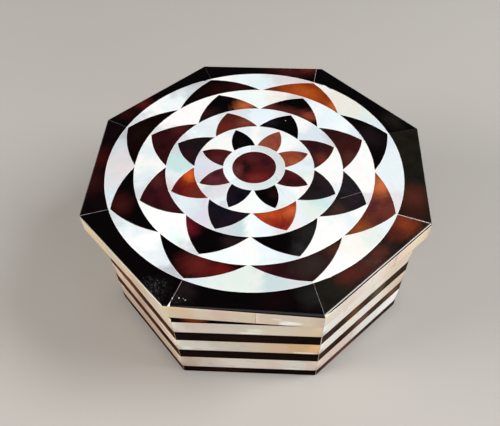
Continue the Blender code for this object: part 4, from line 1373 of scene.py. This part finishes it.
count, radii = 96, [0.0, 0.25, 0.6, 1.0, 1.5, 1.9, 2.2, 2.4, 2.5, 2.55, 2.57]
heights = [0.0, 0.0, 0.0, 0.0, 0.0, 0.04, 0.16, 0.36, 0.60, 0.90, 1.25]
floor_points, floor_faces = [(0.0, 0.0, -0.00005)], []
for r, z in zip(radii[1:], heights[1:]):
    for k in range(count):
        a = 2 * math.pi * k / count
        floor_points.append((r * math.cos(a), r * math.sin(a), z - 0.00005))
for k in range(count):
    floor_faces.append((0, 1 + k, 1 + (k + 1) % count))
for row in range(len(radii) - 2):
    for k in range(count):
        a, b = 1 + row * count + k, 1 + row * count + (k + 1) % count
        floor_faces.append((a, a + count, b + count, b))
floor_mesh = bpy.data.meshes.new("studio_floor")
floor_mesh.from_pydata(floor_points, [], floor_faces)
floor_mesh.materials.append(floor_paint.material)
floor_mesh.shade_smooth()
floor = bpy.data.objects.new("studio_floor", floor_mesh)
bpy.context.scene.collection.objects.link(floor)


def soft_light(name, azimuth, elevation, distance, wide, tall, radiance, tint=(1.0, 1.0, 1.0), roll=0.0, aim=(0, 0, 0.05)):
    """A rectangular softbox of even brightness. Azimuth 0 is the right of the box and -90 its front."""
    lamp = bpy.data.lights.new(name, "AREA")
    lamp.shape = "RECTANGLE"
    lamp.size, lamp.size_y = wide, tall
    lamp.energy = radiance * math.pi * wide * tall
    lamp.color = tint
    holder = bpy.data.objects.new(name, lamp)
    a, e = math.radians(azimuth), math.radians(elevation)
    holder.location = Vector(aim) + Vector((math.cos(a) * math.cos(e), math.sin(a) * math.cos(e), math.sin(e))) * distance
    facing = (Vector(aim) - holder.location).to_track_quat("-Z", "Y")
    holder.rotation_euler = (facing @ Quaternion((0.0, 0.0, 1.0), math.radians(roll))).to_euler()
    bpy.context.scene.collection.objects.link(holder)
    return holder


soft_light("softbox_right", 0, 41, 1.0, 0.34, 0.62, 15.7, (1.0, 0.99, 0.985), roll=-34)
soft_light("softbox_over", -80, 76, 1.0, 1.0, 1.0, 0.60, (1.0, 0.96, 0.93))
soft_light("softbox_front", -102, 50, 1.0, 1.7, 1.05, 0.48, (1.0, 0.95, 0.91))
soft_light("softbox_left", -166, 20, 1.1, 0.6, 0.6, 11.5, (1.0, 0.97, 0.93))
soft_light("softbox_low_right", -38, 12, 1.2, 0.35, 0.35, 7.0, (1.0, 0.97, 0.94)).visible_glossy = False
soft_light("softbox_back", 140, 25, 1.4, 0.5, 0.5, 1.0, (1.0, 0.97, 0.92))

world = bpy.data.worlds.new("studio")
world.use_nodes = True
world.node_tree.nodes["Background"].inputs["Color"].default_value = (0.95, 0.97, 1.0, 1.0)
world.node_tree.nodes["Background"].inputs["Strength"].default_value = 0.02
bpy.context.scene.world = world
bpy.context.scene.view_settings.view_transform = "Standard"
bpy.context.scene.view_settings.look = "None"

# ---------------------------------------------------------------- camera

# Solved from the lid's outline, the mosaic's circles and the band lines: elevation, turn, roll, and
# where the lid's middle sits in the camera's own right and up, as shares of the lid's corner radius.
ELEVATION, TURN, ROLL = 0.96564, -0.06563, -0.01534
RIGHT_BY, UP_BY, AWAY, FOCAL, CENTRE_X, CENTRE_Y = -0.00396, 0.56262, 3.22309, 575.587, 258.38, 270.0
UNIT = 70.0 * MM
forward = Vector((math.sin(TURN) * math.cos(ELEVATION), math.cos(TURN) * math.cos(ELEVATION), -math.sin(ELEVATION)))
right0 = Vector((math.cos(TURN), -math.sin(TURN), 0.0))
up0 = right0.cross(forward)
right = right0 * math.cos(ROLL) + up0 * math.sin(ROLL)
up = -right0 * math.sin(ROLL) + up0 * math.cos(ROLL)
eye = -forward * AWAY - right * RIGHT_BY - up * UP_BY
camera = bpy.data.cameras.new("camera")
camera.sensor_fit = "HORIZONTAL"
camera.sensor_width = 36.0
camera.lens = FOCAL / 500.0 * 36.0
camera.shift_x = (250.0 - CENTRE_X) / 500.0
camera.shift_y = (CENTRE_Y - 213.0) / 500.0
camera.clip_start, camera.clip_end = 0.01, 20.0
holder = bpy.data.objects.new("camera", camera)
basis = Matrix((right, up, -forward)).transposed()
holder.matrix_world = Matrix.Translation(eye * UNIT + Vector((SHIFT.x * MM, SHIFT.y * MM, TOP * MM))) @ basis.to_4x4()
bpy.context.scene.collection.objects.link(holder)
bpy.context.scene.camera = holder
